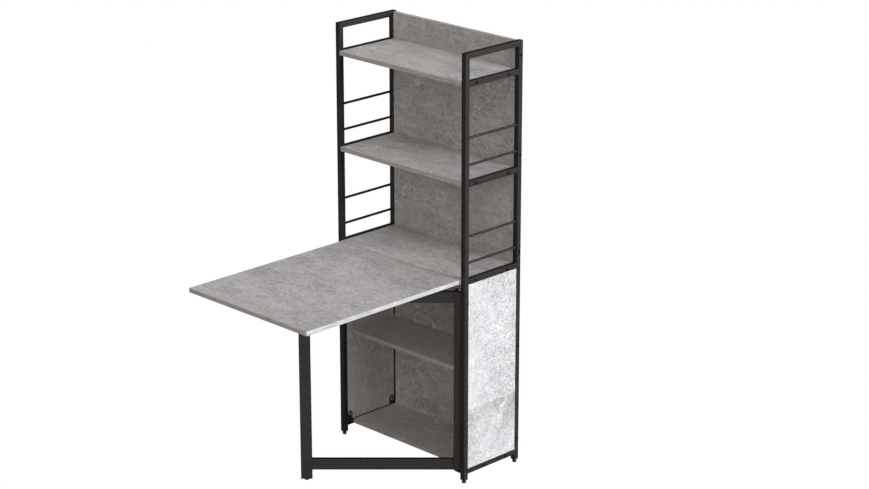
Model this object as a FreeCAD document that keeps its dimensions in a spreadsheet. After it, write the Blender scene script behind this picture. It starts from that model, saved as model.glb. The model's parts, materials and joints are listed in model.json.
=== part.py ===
import FreeCAD, Part
import os
import re
import Sketcher
from FreeCAD import Placement, Rotation, Vector

# Folding table with shelves.
# Two welded side frames carry three open shelves, a low cupboard and a back board.
# A leaf is hinged to the front of the table-height shelf.
# A gate-leg frame pivots on the right front post and carries the leaf.
# The frame stands on the floor at z = 0, with x across the front and y towards the back.
# The origin lies on the floor under the middle of the whole footprint, leaf included.

# Driving sizes in millimetres, each with its own cell in the sheet.
DRIVING_SIZES = [
    ("frame_width", 638, "outer width over the two side frames"),
    ("frame_depth", 279, "outer depth of a side frame"),
    ("foot_gap", 13, "height of the posts' lower ends above the floor"),
    ("tube", 20, "square tube of the side frames"),
    ("tube_wall", 1.2, "wall of every steel tube"),
    ("tube_round", 2, "outer corner radius of every steel tube"),
    ("bottom_shelf_height", 52, "top of the bottom shelf"),
    ("lower_shelf_height", 406, "top of the shelf inside the cupboard"),
    ("table_height", 760, "top of the table leaf and of the fixed top behind it"),
    ("middle_shelf_rise", 350, "top of the middle shelf above the table surface"),
    ("top_shelf_rise", 350, "top of the top shelf above the middle shelf"),
    ("frame_rise", 100, "height of the side frames above the top shelf"),
    ("rod_thick", 9, "diameter of the guard rods in the side frames"),
    ("rod_low", 58, "lower guard rod above the shelf below it"),
    ("rod_high", 153, "upper guard rod above the shelf below it"),
    ("board", 16, "thickness of the shelves"),
    ("top_board", 16, "thickness of the leaf and the fixed top"),
    ("back_board", 16, "thickness of the back board"),
    ("panel_board", 14, "thickness of the cupboard's side panels"),
    ("panel_inset", 1.5, "side panel's outer face behind the frame's outer face"),
    ("board_round", 1, "rounded arris of the edge banding"),
    ("lower_setback", 47, "front edges of the two cupboard shelves behind the frame's front"),
    ("seam_overhang", 5, "front edge of the fixed top ahead of the frame's front"),
    ("seam_gap", 1.5, "gap between the fixed top and the leaf"),
    ("leaf_length", 704, "length of the leaf"),
    ("leaf_clear", 2, "leaf's side edges inside the side frames' inner faces"),
    ("bolt_thick", 6, "diameter of the frame bolts"),
    ("bolt_head", 11, "diameter of a frame bolt's head"),
    ("bolt_head_high", 2.4, "height of a frame bolt's head"),
    ("bolt_socket", 4, "width of the hexagon socket in a bolt's head, over its corners"),
    ("bolt_socket_deep", 1.6, "depth of the hexagon socket"),
    ("bolt_reach", 30, "length of a frame bolt inside a board"),
    ("bolt_inset", 53, "bolts of a shelf from its front and rear edges"),
    ("bolt_play", 0.1, "radial clearance round bolts, screws and plugs"),
    ("back_drop", 4, "upper edge of the back board below the frame's top"),
    ("back_bolt_low", 96, "lowest bolt of the back board above the floor"),
    ("back_bolt_drop", 52, "highest bolt of the back board below the frame's top"),
    ("tab_wide", 24, "width of a side panel's fixing tab"),
    ("tab_high", 34, "height of a fixing tab"),
    ("tab_thick", 2, "thickness of a fixing tab"),
    ("tab_screw", 4, "diameter of a tab screw"),
    ("tab_screw_head", 9, "diameter of a tab screw's head"),
    ("tab_screw_head_high", 2, "height of a tab screw's head"),
    ("tab_screw_reach", 9, "length of a tab screw inside the panel"),
    ("shelf_pin", 6, "diameter of the pins that carry the cupboard's inner shelf"),
    ("shelf_pin_out", 8, "length of a shelf pin inside the side panel"),
    ("shelf_pin_in", 16, "length of a shelf pin inside the shelf"),
    ("shelf_pin_inset", 45, "shelf pins from the shelf's front and rear edges"),
    ("foot_wide", 15, "diameter of a post's foot"),
    ("foot_round", 1.5, "rounded lower edge of a foot"),
    ("foot_stem", 8, "diameter of a foot's stem"),
    ("foot_stem_long", 20, "length of a foot's stem above the post's lower end"),
    ("plug_deep", 14, "depth of the plastic plugs in the tubes' ends"),
    ("gate_face", 40, "wide side of the gate's rectangular tube"),
    ("gate_depth", 20, "narrow side of the gate's rectangular tube"),
    ("gate_low", 41, "lower edge of the gate's bottom rail"),
    ("gate_drop", 52, "upper edge of the gate's top rail below the table surface"),
    ("gate_clear", 16.5, "gap between the folded gate's leg and the left post"),
    ("gate_angle", 45, "gate's opening in degrees from its folded place"),
    ("pivot_inset", 22.5, "pivot axis from the post's inner face"),
    ("pivot_setback", 18.5, "pivot axis behind the frame's front"),
    ("glide_wide", 16, "diameter of the glide under the gate's leg"),
    ("glide_high", 6, "height of that glide"),
    ("leg_pad", 3.5, "thickness of the pad on top of the gate's leg"),
    ("leg_gap", 0.4, "gap between that pad and the leaf"),
    ("pivot_plate", 4, "thickness of the gate's two pivot plates"),
    ("plate_round", 16, "end radius of a pivot plate about the pivot axis"),
    ("pivot_pin", 8, "diameter of a pivot pin"),
    ("pivot_head", 14, "diameter of a pivot pin's head"),
    ("pivot_head_high", 3, "height of a pivot pin's head"),
    ("bush_flange", 1.5, "thickness of a pivot bush's flange"),
    ("bush_deep", 20, "depth of a pivot bush inside the stile"),
    ("running_play", 0.05, "radial clearance of a pin that turns"),
    ("side_play", 0.3, "gap between pieces that pass one another"),
    ("hinge_long", 60, "length of a leaf hinge"),
    ("middle_knuckle", 20, "length of a hinge's middle knuckle, with its end gaps"),
    ("hinge_knuckle", 6, "outer diameter of a hinge's knuckles"),
    ("hinge_pin", 3, "diameter of a hinge's pin"),
    ("hinge_plate", 1.5, "thickness of a hinge's plates"),
    ("hinge_plate_wide", 26, "hinge plate's outer edge from the pin's axis"),
    ("hinge_inset", 127, "middle of an outer hinge from the leaf's side edge"),
    ("hinge_screw", 3.5, "diameter of a hinge screw"),
    ("hinge_screw_head", 7, "diameter of a hinge screw's head"),
    ("hinge_screw_head_high", 1.4, "height of a hinge screw's head"),
    ("hinge_screw_reach", 10, "length of a hinge screw inside the board"),
    ("hinge_screw_spread", 36, "distance between the two screws of a hinge plate"),
    ("overrun", 5, "length by which a cut passes the piece that it trims"),
]

# Sizes that follow from the driving ones.
DERIVED_SIZES = [
    ("half_width", "frame_width/2"),
    ("inner_half", "half_width - tube"),
    ("leaf_width", "2*(inner_half - leaf_clear)"),
    ("middle_shelf_height", "table_height + middle_shelf_rise"),
    ("top_shelf_height", "middle_shelf_height + top_shelf_rise"),
    ("frame_top", "top_shelf_height + frame_rise"),
    ("back_plane", "(frame_depth + seam_overhang + seam_gap + leaf_length)/2"),
    ("front_plane", "back_plane - frame_depth"),
    ("post_length", "frame_top - foot_gap"),
    ("rail_length", "frame_depth - 2*tube"),
    ("rail_start", "front_plane + tube"),
    ("shelf_depth", "frame_depth - back_board"),
    ("fixed_top_depth", "shelf_depth + seam_overhang"),
    ("lower_depth", "shelf_depth - lower_setback"),
    ("inner_shelf_depth", "frame_depth - max(tube; back_board) - lower_setback"),
    ("lower_front", "front_plane + lower_setback"),
    ("back_low", "bottom_shelf_height - board/2 - tube/2"),
    ("back_high", "frame_top - back_drop"),
    ("panel_inner", "half_width - panel_inset - panel_board"),
    ("panel_low", "bottom_shelf_height - board/2 + tube/2"),
    ("panel_high", "table_height - top_board/2 - tube/2"),
    ("bolt_hole", "bolt_thick + 2*bolt_play"),
    ("plug_wide", "tube - 2*tube_wall - 2*bolt_play"),
    ("gate_plug_face", "gate_face - 2*tube_wall - 2*bolt_play"),
    ("gate_plug_depth", "gate_depth - 2*tube_wall - 2*bolt_play"),
    ("gate_high", "table_height - gate_drop"),
    ("pivot_x", "inner_half - pivot_inset"),
    ("gate_reach", "pivot_x + inner_half - gate_clear - gate_face/2"),
    ("pivot_y", "front_plane + pivot_setback"),
    ("leg_top", "table_height - top_board - leg_gap - leg_pad"),
    ("plate_gap", "bush_flange + side_play"),
    ("hinge_pitch", "leaf_width/2 - hinge_inset"),
    ("hinge_y", "front_plane - seam_overhang - seam_gap/2"),
    ("hinge_drop", "hinge_knuckle/2 + side_play"),
    ("hinge_z", "table_height - top_board - hinge_drop"),
    ("end_knuckle", "(hinge_long - middle_knuckle - side_play)/2"),
    ("hinge_screw_y", "(hinge_drop + hinge_plate_wide)/2"),
]

BACK_BOLT_COUNT = 5
BACK_BOLT_SPAN = "(frame_top - back_bolt_drop - back_bolt_low)"
HINGE_NUMBERS = (-1, 0, 1)
SIDES = (("left", -1), ("right", 1))
UPRIGHT = Vector(0, 0, 1)
CORNER_SHARE = 0.999

doc = FreeCAD.newDocument("FoldingTable")
sheet = doc.addObject("Spreadsheet::Sheet", "Sizes")
for row, (alias, size, note) in enumerate(DRIVING_SIZES, 1):
    sheet.set(f"A{row}", note)
    sheet.set(f"B{row}", str(size))
    sheet.setAlias(f"B{row}", alias)
for row, (alias, formula) in enumerate(DERIVED_SIZES, len(DRIVING_SIZES) + 1):
    sheet.set(f"B{row}", "=" + formula)
    sheet.setAlias(f"B{row}", alias)
doc.recompute()

subparts = []


def spelled(formula):
    """Returns the formula with each size's name pointing at the sheet."""
    return re.sub(r"[a-z][a-z_]*", r"Sizes.\g<0>", formula)


def value(formula):
    """Returns the number that a formula of named sizes gives now."""
    return float(sheet.evalExpression(spelled(formula)))


def bind(thing, prop, formula):
    """Ties a property to a formula of named sizes, and leaves a zero as it is."""
    if formula != "0":
        thing.setExpression(prop, spelled(formula))


def place(thing, at, turned=None):
    """Ties an object's place to formulas, with an optional fixed turn."""
    thing.Placement = Placement(Vector(), turned or Rotation())
    for axis, formula in zip("xyz", at):
        bind(thing, f"Placement.Base.{axis}", formula)


def place_on_gate(thing):
    """Puts a piece drawn round the pivot axis on the open gate."""
    place(thing, ("pivot_x", "pivot_y", "0"), Rotation(UPRIGHT, value("gate_angle")))
    bind(thing, "Placement.Rotation.Angle", "gate_angle")


def keep(thing, label):
    """Names a finished sub-part and lists it for writing."""
    thing.Label = label
    subparts.append(thing)
    return thing


def new_body(name, at=("0", "0", "0"), turned=None):
    made = doc.addObject("PartDesign::Body", name)
    place(made, at, turned)
    return made


def new_sketch(body, plane, offset=("0", "0", "0")):
    """Starts a sketch on one of the body's origin planes, moved by formulas in the sketch's own axes."""
    drawn = body.newObject("Sketcher::SketchObject", body.Name + "_sketch")
    support = [feature for feature in body.Origin.OriginFeatures if feature.Role == plane + "_Plane"]
    drawn.AttachmentSupport = [(support[0], "")]
    drawn.MapMode = "FlatFace"
    for axis, formula in zip("xyz", offset):
        bind(drawn, f"AttachmentOffset.Base.{axis}", formula)
    return drawn


def measure(drawn, kind, where, formula):
    """Adds a dimension to a sketch and ties it to a formula."""
    index = drawn.addConstraint(Sketcher.Constraint(kind, *where, value(formula)))
    drawn.renameConstraint(index, f"size{index}")
    bind(drawn, f"Constraints.size{index}", formula)


def locate(drawn, item, end, right, up):
    """Fixes one point of a sketch by its distances from the sketch's axes."""
    for kind, axis, formula in (("DistanceX", -2, right), ("DistanceY", -1, up)):
        if formula == "0":
            drawn.addConstraint(Sketcher.Constraint("PointOnObject", item, end, axis))
        elif value(formula) < 0:
            measure(drawn, kind, (item, end, -1, 1), f"-({formula})")
        else:
            measure(drawn, kind, (-1, 1, item, end), formula)


def draw_outline(drawn, points):
    """Draws a closed outline of straight lines and returns the number of its first line."""
    first = drawn.GeometryCount
    count = len(points)
    for number, point in enumerate(points):
        drawn.addGeometry(Part.LineSegment(point, points[(number + 1) % count]), False)
    for number in range(count):
        after = first + (number + 1) % count
        drawn.addConstraint(Sketcher.Constraint("Coincident", first + number, 2, after, 1))
    return first


def draw_rectangle(drawn, wide, high, standing=False):
    """Draws a rectangle about the sketch's origin, or standing on its horizontal axis."""
    half = value(wide)/2
    low = 0 if standing else -value(high)/2
    top = low + value(high)
    corners = [Vector(-half, low), Vector(half, low), Vector(half, top), Vector(-half, top)]
    first = draw_outline(drawn, corners)
    for number, kind in enumerate(("Vertical", "Horizontal", "Vertical"), 1):
        drawn.addConstraint(Sketcher.Constraint(kind, first + number))
    if standing:
        drawn.addConstraint(Sketcher.Constraint("Symmetric", first, 1, first, 2, -2))
        drawn.addConstraint(Sketcher.Constraint("PointOnObject", first, 1, -1))
    else:
        drawn.addConstraint(Sketcher.Constraint("Horizontal", first))
        drawn.addConstraint(Sketcher.Constraint("Symmetric", first, 1, first + 2, 1, -1, 1))
    measure(drawn, "DistanceX", (first, 1, first, 2), wide)
    measure(drawn, "DistanceY", (first + 1, 1, first + 1, 2), high)


def draw_circle(drawn, across, right="0", up="0"):
    centre = Vector(value(right), value(up))
    item = drawn.addGeometry(Part.Circle(centre, UPRIGHT, value(across)/2), False)
    locate(drawn, item, 3, right, up)
    measure(drawn, "Diameter", (item,), across)


def draw_arch(drawn, wide, high):
    """Draws a straight-sided outline with a half-round top, standing on the sketch's horizontal axis."""
    half = value(wide)/2
    spring = value(high) - half
    drawn.addGeometry(Part.LineSegment(Vector(-half, 0), Vector(half, 0)), False)
    drawn.addGeometry(Part.LineSegment(Vector(half, 0), Vector(half, spring)), False)
    drawn.addGeometry(Part.Arc(Vector(half, spring), Vector(0, spring + half), Vector(-half, spring)), False)
    drawn.addGeometry(Part.LineSegment(Vector(-half, spring), Vector(-half, 0)), False)
    drawn.addConstraint(Sketcher.Constraint("Coincident", 0, 2, 1, 1))
    drawn.addConstraint(Sketcher.Constraint("Tangent", 1, 2, 2, 1))
    drawn.addConstraint(Sketcher.Constraint("Tangent", 2, 2, 3, 1))
    drawn.addConstraint(Sketcher.Constraint("Coincident", 3, 2, 0, 1))
    drawn.addConstraint(Sketcher.Constraint("Vertical", 1))
    drawn.addConstraint(Sketcher.Constraint("Symmetric", 0, 1, 0, 2, -2))
    drawn.addConstraint(Sketcher.Constraint("PointOnObject", 0, 1, -1))
    measure(drawn, "DistanceX", (0, 1, 0, 2), wide)
    measure(drawn, "DistanceY", (1, 1, 1, 2), f"{high} - ({wide})/2")


def add_pad(body, drawn, long, backwards=False):
    pad = body.newObject("PartDesign::Pad", body.Name + "_pad")
    pad.Profile = drawn
    bind(pad, "Length", long)
    pad.Reversed = backwards
    doc.recompute()
    return pad


def add_pocket(body, drawn, deep=None, backwards=False):
    """Cuts a sketch into the body, right through both ways where no depth is given."""
    before = body.Shape.Volume
    pocket = body.newObject("PartDesign::Pocket", body.Name + "_pocket")
    pocket.Profile = drawn
    if deep is None:
        pocket.Type = "ThroughAll"
        pocket.SideType = "Symmetric"
    else:
        bind(pocket, "Length", deep)
        pocket.Reversed = backwards
    doc.recompute()
    if not body.Shape.Volume < before:
        raise RuntimeError(f"the cut in {body.Name} removed nothing")
    return pocket


def mirror(body, cut, plane):
    """Repeats a cut on the other side of one of the body's origin planes."""
    mirrored = body.newObject("PartDesign::Mirrored", body.Name + "_mirrored")
    support = [feature for feature in body.Origin.OriginFeatures if feature.Role == plane + "_Plane"]
    mirrored.Originals = [cut]
    mirrored.MirrorPlane = (support[0], [""])
    body.Tip = mirrored
    doc.recompute()


def round_edges(body, radius, chosen):
    """Rounds the straight or circular edges that the test picks out of the body's last shape."""
    tip = body.Tip
    names = [f"Edge{number}" for number, edge in enumerate(tip.Shape.Edges, 1) if chosen(edge)]
    fillet = body.newObject("PartDesign::Fillet", body.Name + "_fillet")
    fillet.Base = (tip, names)
    bind(fillet, "Radius", radius)
    doc.recompute()


def outer_corner(box, along):
    """Returns a test for the edges that run along one axis at the corners of a box.

    An edge counts when it lies at CORNER_SHARE of the box's half size or further out, both ways.
    """
    def test(edge):
        middle = edge.BoundBox.Center
        spans = [edge.BoundBox.XLength, edge.BoundBox.YLength, edge.BoundBox.ZLength]
        sides = [axis for axis in range(3) if axis != along]
        sizes = [box.XLength, box.YLength, box.ZLength]
        reach = [abs(middle[axis] - box.Center[axis])*2/sizes[axis] for axis in sides]
        return spans[along] > max(spans[axis] for axis in sides) and min(reach) > CORNER_SHARE
    return test


def hollow_tube(body, plane, wide, high, long, offset=("0", "0", "0")):
    """Makes a square or rectangular tube with rounded outer corners along the plane's normal."""
    drawn = new_sketch(body, plane, offset)
    draw_rectangle(drawn, wide, high)
    draw_rectangle(drawn, f"{wide} - 2*tube_wall", f"{high} - 2*tube_wall")
    pad = add_pad(body, drawn, long, backwards=plane == "XZ")
    along = {"YZ": 0, "XZ": 1, "XY": 2}[plane]
    round_edges(body, "tube_round", outer_corner(pad.Shape.BoundBox, along))


def cut_mitre(body, corner, legs):
    """Cuts a 45 degree mitre: a right triangle with the given square corner and two signed legs."""
    drawn = new_sketch(body, "YZ")
    square = Vector(value(corner[0]), value(corner[1]))
    sideways = square + Vector(value(legs[0]), 0)
    upwards = square + Vector(0, value(legs[1]))
    first = draw_outline(drawn, [square, sideways, upwards])
    locate(drawn, first, 1, *corner)
    locate(drawn, first, 2, f"{corner[0]} + {legs[0]}", corner[1])
    locate(drawn, first + 1, 2, corner[0], f"{corner[1]} + {legs[1]}")
    add_pocket(body, drawn)


def group(label, pattern, places):
    """Makes one node of separate copies of a finished pattern piece."""
    copies = []
    for spot in places:
        copy = pattern.Shape.copy()
        copy.Placement = spot
        copies.append(copy)
    made = doc.addObject("Part::Feature", label)
    made.Shape = Part.makeCompound(copies)
    return keep(made, label)


def primitive(kind, name, sizes, at=("0", "0", "0"), turned=None):
    """Makes a box, cylinder or prism whose sizes and place follow formulas."""
    made = doc.addObject(kind, name)
    for prop, formula in sizes.items():
        bind(made, prop, formula)
    place(made, at, turned)
    return made


def fused(name, pieces):
    made = doc.addObject("Part::MultiFuse", name)
    made.Shapes = pieces
    return made


def cut_away(name, base, tools):
    made = doc.addObject("Part::Cut", name)
    made.Base = base
    made.Tool = tools[0] if len(tools) == 1 else fused(name + "_tools", tools)
    return made


# Side frames.

MITRE_LEG = "(tube + 2*overrun)"
SHELF_RAILS = (("bottom", "bottom_shelf_height"), ("table", "table_height"),
               ("middle", "middle_shelf_height"), ("top_shelf", "top_shelf_height"))


def back_bolt_height(number):
    """Returns the height of one of the back board's evenly spaced bolts."""
    return f"back_bolt_low + {number}*{BACK_BOLT_SPAN}/{BACK_BOLT_COUNT - 1}"


def make_post(side, sign, end):
    """Makes one upright of a side frame, mitred into the top rail."""
    middle = "front_plane + tube/2" if end == "front" else "back_plane - tube/2"
    inward = 1 if end == "front" else -1
    body = new_body(f"{side}_{end}_post", (f"{sign}*(half_width - tube/2)", middle, "foot_gap"))
    hollow_tube(body, "XY", "tube", "tube", "post_length")
    cut_mitre(body, (f"{inward}*(tube/2 + overrun)", "post_length + overrun"),
              (f"{-inward}*{MITRE_LEG}", f"-1*{MITRE_LEG}"))
    if end == "rear":
        drawn = new_sketch(body, "YZ")
        for number in range(BACK_BOLT_COUNT):
            draw_circle(drawn, "bolt_hole", "(tube - back_board)/2", f"{back_bolt_height(number)} - foot_gap")
        add_pocket(body, drawn)
    keep(body, f"{side}_{end}_post")


def make_top_rail(side, sign):
    """Makes the rail across the top of a side frame, mitred at both ends."""
    at = (f"{sign}*(half_width - tube/2)", "front_plane", "frame_top - tube/2")
    body = new_body(f"{side}_top_rail", at)
    hollow_tube(body, "XZ", "tube", "tube", "frame_depth")
    cut_mitre(body, ("-overrun", "-(tube/2 + overrun)"), (MITRE_LEG, MITRE_LEG))
    cut_mitre(body, ("frame_depth + overrun", "-(tube/2 + overrun)"), (f"-1*{MITRE_LEG}", MITRE_LEG))
    keep(body, f"{side}_top_rail")


def bolt_places(level):
    """Returns a shelf's two bolt places behind the frame's front. The bottom shelf starts further back."""
    if level == "bottom":
        return ("lower_setback + bolt_inset", "shelf_depth - bolt_inset")
    return ("bolt_inset", "shelf_depth - bolt_inset")


def shelf_board(level):
    return "top_board" if level == "table" else "board"


def make_shelf_rail(side, sign, level, height):
    """Makes a rail level with the middle of the shelf that it carries, with its two bolt holes."""
    at = (f"{sign}*(half_width - tube/2)", "rail_start", f"{height} - {shelf_board(level)}/2")
    body = new_body(f"{side}_{level}_rail", at)
    hollow_tube(body, "XZ", "tube", "tube", "rail_length")
    drawn = new_sketch(body, "YZ")
    for spot in bolt_places(level):
        draw_circle(drawn, "bolt_hole", f"{spot} - tube")
    add_pocket(body, drawn)
    keep(body, f"{side}_{level}_rail")


def make_rod(side, sign, level, height, number, rise):
    """Makes one round guard rod between the posts of a side frame."""
    at = (f"{sign}*(half_width - tube/2)", "rail_start", f"{height} + {rise}")
    rod = primitive("Part::Cylinder", f"{side}_{level}_rod_{number}",
                    {"Radius": "rod_thick/2", "Height": "rail_length"}, at, Rotation(Vector(1, 0, 0), -90))
    keep(rod, f"{side}_{level}_rod_{number}")


for side, sign in SIDES:
    for end in ("front", "rear"):
        make_post(side, sign, end)
    make_top_rail(side, sign)
    for level, height in SHELF_RAILS:
        make_shelf_rail(side, sign, level, height)
    for level, height in SHELF_RAILS[1:3]:
        make_rod(side, sign, level, height, 1, "rod_low")
        make_rod(side, sign, level, height, 2, "rod_high")


# Feet and the plugs that hold them.

def make_foot(name, x, y):
    """Makes a foot with a rounded lower edge and a stem that goes into the post's plug."""
    body = new_body(name, (x, y, "0"))
    drawn = new_sketch(body, "XY")
    draw_circle(drawn, "foot_wide")
    add_pad(body, drawn, "foot_gap")
    round_edges(body, "foot_round", lambda edge: edge.BoundBox.ZMax < value("foot_round"))
    stem = new_sketch(body, "XY", ("0", "0", "foot_gap"))
    draw_circle(stem, "foot_stem")
    add_pad(body, stem, "foot_stem_long")
    keep(body, name)


plug = new_body("plug_pattern")
plug_sketch = new_sketch(plug, "XY")
draw_rectangle(plug_sketch, "plug_wide", "plug_wide")
draw_circle(plug_sketch, "foot_stem + 2*bolt_play")
add_pad(plug, plug_sketch, "plug_deep")
plug_places = []
for side, sign in SIDES:
    for end, y in (("front", "front_plane + tube/2"), ("rear", "back_plane - tube/2")):
        x = f"{sign}*(half_width - tube/2)"
        make_foot(f"{side}_{end}_foot", x, y)
        plug_places.append(Placement(Vector(value(x), value(y), value("foot_gap")), Rotation()))
group("post_plugs", plug, plug_places)


# Boards.

def make_board(name, plane, wide, high, thick, at):
    """Makes a plain board on one plane, centred sideways and standing on the plane's other axis."""
    body = new_body(name, at)
    drawn = new_sketch(body, plane)
    draw_rectangle(drawn, wide, high, standing=True)
    add_pad(body, drawn, thick, backwards=plane == "XZ")
    return keep(body, name)


def front_edges(edge):
    """Picks the two long edges of a board's front."""
    box = edge.BoundBox
    return box.XLength > box.ZLength and abs(box.YMax) < value("board_round")


def drill_ends(body, wide, thick, hole, deep, spots):
    """Drills both ends of a shelf at the given distances behind its front edge."""
    drawn = new_sketch(body, "YZ", ("0", "0", f"{wide}/2"))
    for spot in spots:
        draw_circle(drawn, hole, spot, f"{thick}/2")
    mirror(body, add_pocket(body, drawn, deep), "YZ")


def make_shelf(name, wide, deep, thick, front, height):
    body = make_board(name, "XY", wide, deep, thick, ("0", front, f"{height} - {thick}"))
    round_edges(body, "board_round", front_edges)
    return body


BOLT_DEPTH = "bolt_reach + bolt_play"
for name, level, height in (("middle_shelf", "middle", "middle_shelf_height"),
                            ("top_shelf", "top_shelf", "top_shelf_height")):
    shelf = make_shelf(name, "2*inner_half", "shelf_depth", "board", "front_plane", height)
    drill_ends(shelf, "2*inner_half", "board", "bolt_hole", BOLT_DEPTH, bolt_places(level))

bottom_shelf = make_shelf("bottom_shelf", "2*inner_half", "lower_depth", "board", "lower_front",
                          "bottom_shelf_height")
drill_ends(bottom_shelf, "2*inner_half", "board", "bolt_hole", BOLT_DEPTH,
           [f"{spot} - lower_setback" for spot in bolt_places("bottom")])

PIN_SPOTS = ("shelf_pin_inset", "inner_shelf_depth - shelf_pin_inset")
PIN_HOLE = "shelf_pin + 2*bolt_play"
lower_shelf = make_shelf("lower_shelf", "2*panel_inner", "inner_shelf_depth", "board", "lower_front",
                         "lower_shelf_height")
drill_ends(lower_shelf, "2*panel_inner", "board", PIN_HOLE, "shelf_pin_in + bolt_play", PIN_SPOTS)

back_panel = make_board("back_panel", "XZ", "2*inner_half", "back_high - back_low", "back_board",
                        ("0", "back_plane - back_board", "back_low"))
back_holes = new_sketch(back_panel, "YZ", ("0", "0", "inner_half"))
for number in range(BACK_BOLT_COUNT):
    draw_circle(back_holes, "bolt_hole", "back_board/2", f"{back_bolt_height(number)} - back_low")
mirror(back_panel, add_pocket(back_panel, back_holes, BOLT_DEPTH), "YZ")


# Side panels of the cupboard, the tabs that hold them and the pins of the shelf between them.

TAB_Y = ("rail_start + tab_wide/2", "rail_start + rail_length - tab_wide/2")
TAB_EYE = "tab_high - tab_wide/2"
TAB_RISES = (("panel_low", 1), ("panel_high", -1))
PANEL_MIDDLE = "rail_start + rail_length/2"


def make_side_panel(side, sign):
    """Makes a side panel with blind holes in its inner face for the tab screws and the shelf pins."""
    near = "panel_inner" if sign > 0 else "-(panel_inner + panel_board)"
    body = make_board(f"{side}_panel", "YZ", "rail_length", "panel_high - panel_low", "panel_board",
                      (near, PANEL_MIDDLE, "panel_low"))
    face = ("0", "0", "0") if sign > 0 else ("0", "0", "panel_board")
    screw_holes = new_sketch(body, "YZ", face)
    for y in TAB_Y:
        for rise, way in TAB_RISES:
            draw_circle(screw_holes, "tab_screw + 2*bolt_play", f"{y} - ({PANEL_MIDDLE})",
                        f"{rise} - panel_low + {way}*({TAB_EYE})")
    add_pocket(body, screw_holes, "tab_screw_reach + bolt_play", backwards=sign > 0)
    pin_holes = new_sketch(body, "YZ", face)
    for spot in PIN_SPOTS:
        draw_circle(pin_holes, PIN_HOLE, f"lower_front + {spot} - ({PANEL_MIDDLE})",
                    "lower_shelf_height - board/2 - panel_low")
    add_pocket(body, pin_holes, "shelf_pin_out + bolt_play", backwards=sign > 0)


tab = new_body("tab_pattern")
tab_sketch = new_sketch(tab, "YZ")
draw_arch(tab_sketch, "tab_wide", "tab_high")
draw_circle(tab_sketch, "tab_screw + 2*bolt_play", "0", TAB_EYE)
add_pad(tab, tab_sketch, "tab_thick")

tab_screw = fused("tab_screw_pattern", [
    primitive("Part::Cylinder", "tab_screw_shank",
              {"Radius": "tab_screw/2", "Height": "tab_thick + tab_screw_reach"},
              ("0", "0", "-(tab_thick + tab_screw_reach)")),
    primitive("Part::Cylinder", "tab_screw_cap",
              {"Radius": "tab_screw_head/2", "Height": "tab_screw_head_high"}),
])
shelf_pin = primitive("Part::Cylinder", "shelf_pin_pattern",
                      {"Radius": "shelf_pin/2", "Height": "shelf_pin_out + shelf_pin_in"})
doc.recompute()


def facing(sign):
    """Returns the turn that points a fastener's axis out of the right side, or out of the left."""
    return Rotation(Vector(0, 1, 0), 90*sign)


screw_places = []
pin_places = []
for side, sign in SIDES:
    make_side_panel(side, sign)
    tab_places = []
    tab_left = value("panel_inner - tab_thick") if sign > 0 else -value("panel_inner")
    for y in TAB_Y:
        for rise, way in TAB_RISES:
            turned = Rotation() if way > 0 else Rotation(Vector(1, 0, 0), 180)
            tab_places.append(Placement(Vector(tab_left, value(y), value(rise)), turned))
            eye = Vector(sign*value("panel_inner - tab_thick"), value(y),
                         value(f"{rise} + {way}*({TAB_EYE})"))
            screw_places.append(Placement(eye, facing(-sign)))
    group(f"{side}_panel_tabs", tab, tab_places)
    for spot in PIN_SPOTS:
        inner = Vector(sign*value("panel_inner - shelf_pin_in"), value(f"lower_front + {spot}"),
                       value("lower_shelf_height - board/2"))
        pin_places.append(Placement(inner, facing(sign)))
group("panel_tab_screws", tab_screw, screw_places)
group("lower_shelf_pins", shelf_pin, pin_places)


# Frame bolts with hexagon sockets.

bolt = cut_away("bolt_pattern", fused("bolt_solid", [
    primitive("Part::Cylinder", "bolt_shank", {"Radius": "bolt_thick/2", "Height": "tube + bolt_reach"},
              ("0", "0", "-(tube + bolt_reach)")),
    primitive("Part::Cone", "bolt_cap", {"Radius1": "bolt_head/2", "Height": "bolt_head_high",
                                         "Radius2": "(bolt_head - bolt_head_high)/2"}),
]), [primitive("Part::Prism", "bolt_socket_tool",
               {"Circumradius": "bolt_socket/2", "Height": "bolt_socket_deep + overrun"},
               ("0", "0", "bolt_head_high - bolt_socket_deep"))])
doc.recompute()

shelf_bolt_places = []
back_bolt_places = []
for side, sign in SIDES:
    for level, height in SHELF_RAILS:
        for spot in bolt_places(level):
            outer = Vector(sign*value("half_width"), value(f"front_plane + {spot}"),
                           value(f"{height} - {shelf_board(level)}/2"))
            shelf_bolt_places.append(Placement(outer, facing(sign)))
    for number in range(BACK_BOLT_COUNT):
        outer = Vector(sign*value("half_width"), value("back_plane - back_board/2"),
                       value(back_bolt_height(number)))
        back_bolt_places.append(Placement(outer, facing(sign)))
group("shelf_bolts", bolt, shelf_bolt_places)
group("back_panel_bolts", bolt, back_bolt_places)


# Fixed top, leaf and the three hinges between them.

def drill_hinge_screws(body, y):
    """Drills the underside of a top board for the hinge screws."""
    drawn = new_sketch(body, "XY")
    for number in HINGE_NUMBERS:
        for way in (-1, 1):
            x = f"{number}*hinge_pitch + {way}*hinge_screw_spread/2"
            draw_circle(drawn, "hinge_screw + 2*bolt_play", x, y)
    add_pocket(body, drawn, "hinge_screw_reach + bolt_play", backwards=True)


fixed_top = make_shelf("fixed_top", "2*inner_half", "fixed_top_depth", "top_board",
                       "front_plane - seam_overhang", "table_height")
drill_ends(fixed_top, "2*inner_half", "top_board", "bolt_hole", BOLT_DEPTH,
           [f"{spot} + seam_overhang" for spot in bolt_places("table")])
drill_hinge_screws(fixed_top, "hinge_screw_y - seam_gap/2")

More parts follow.
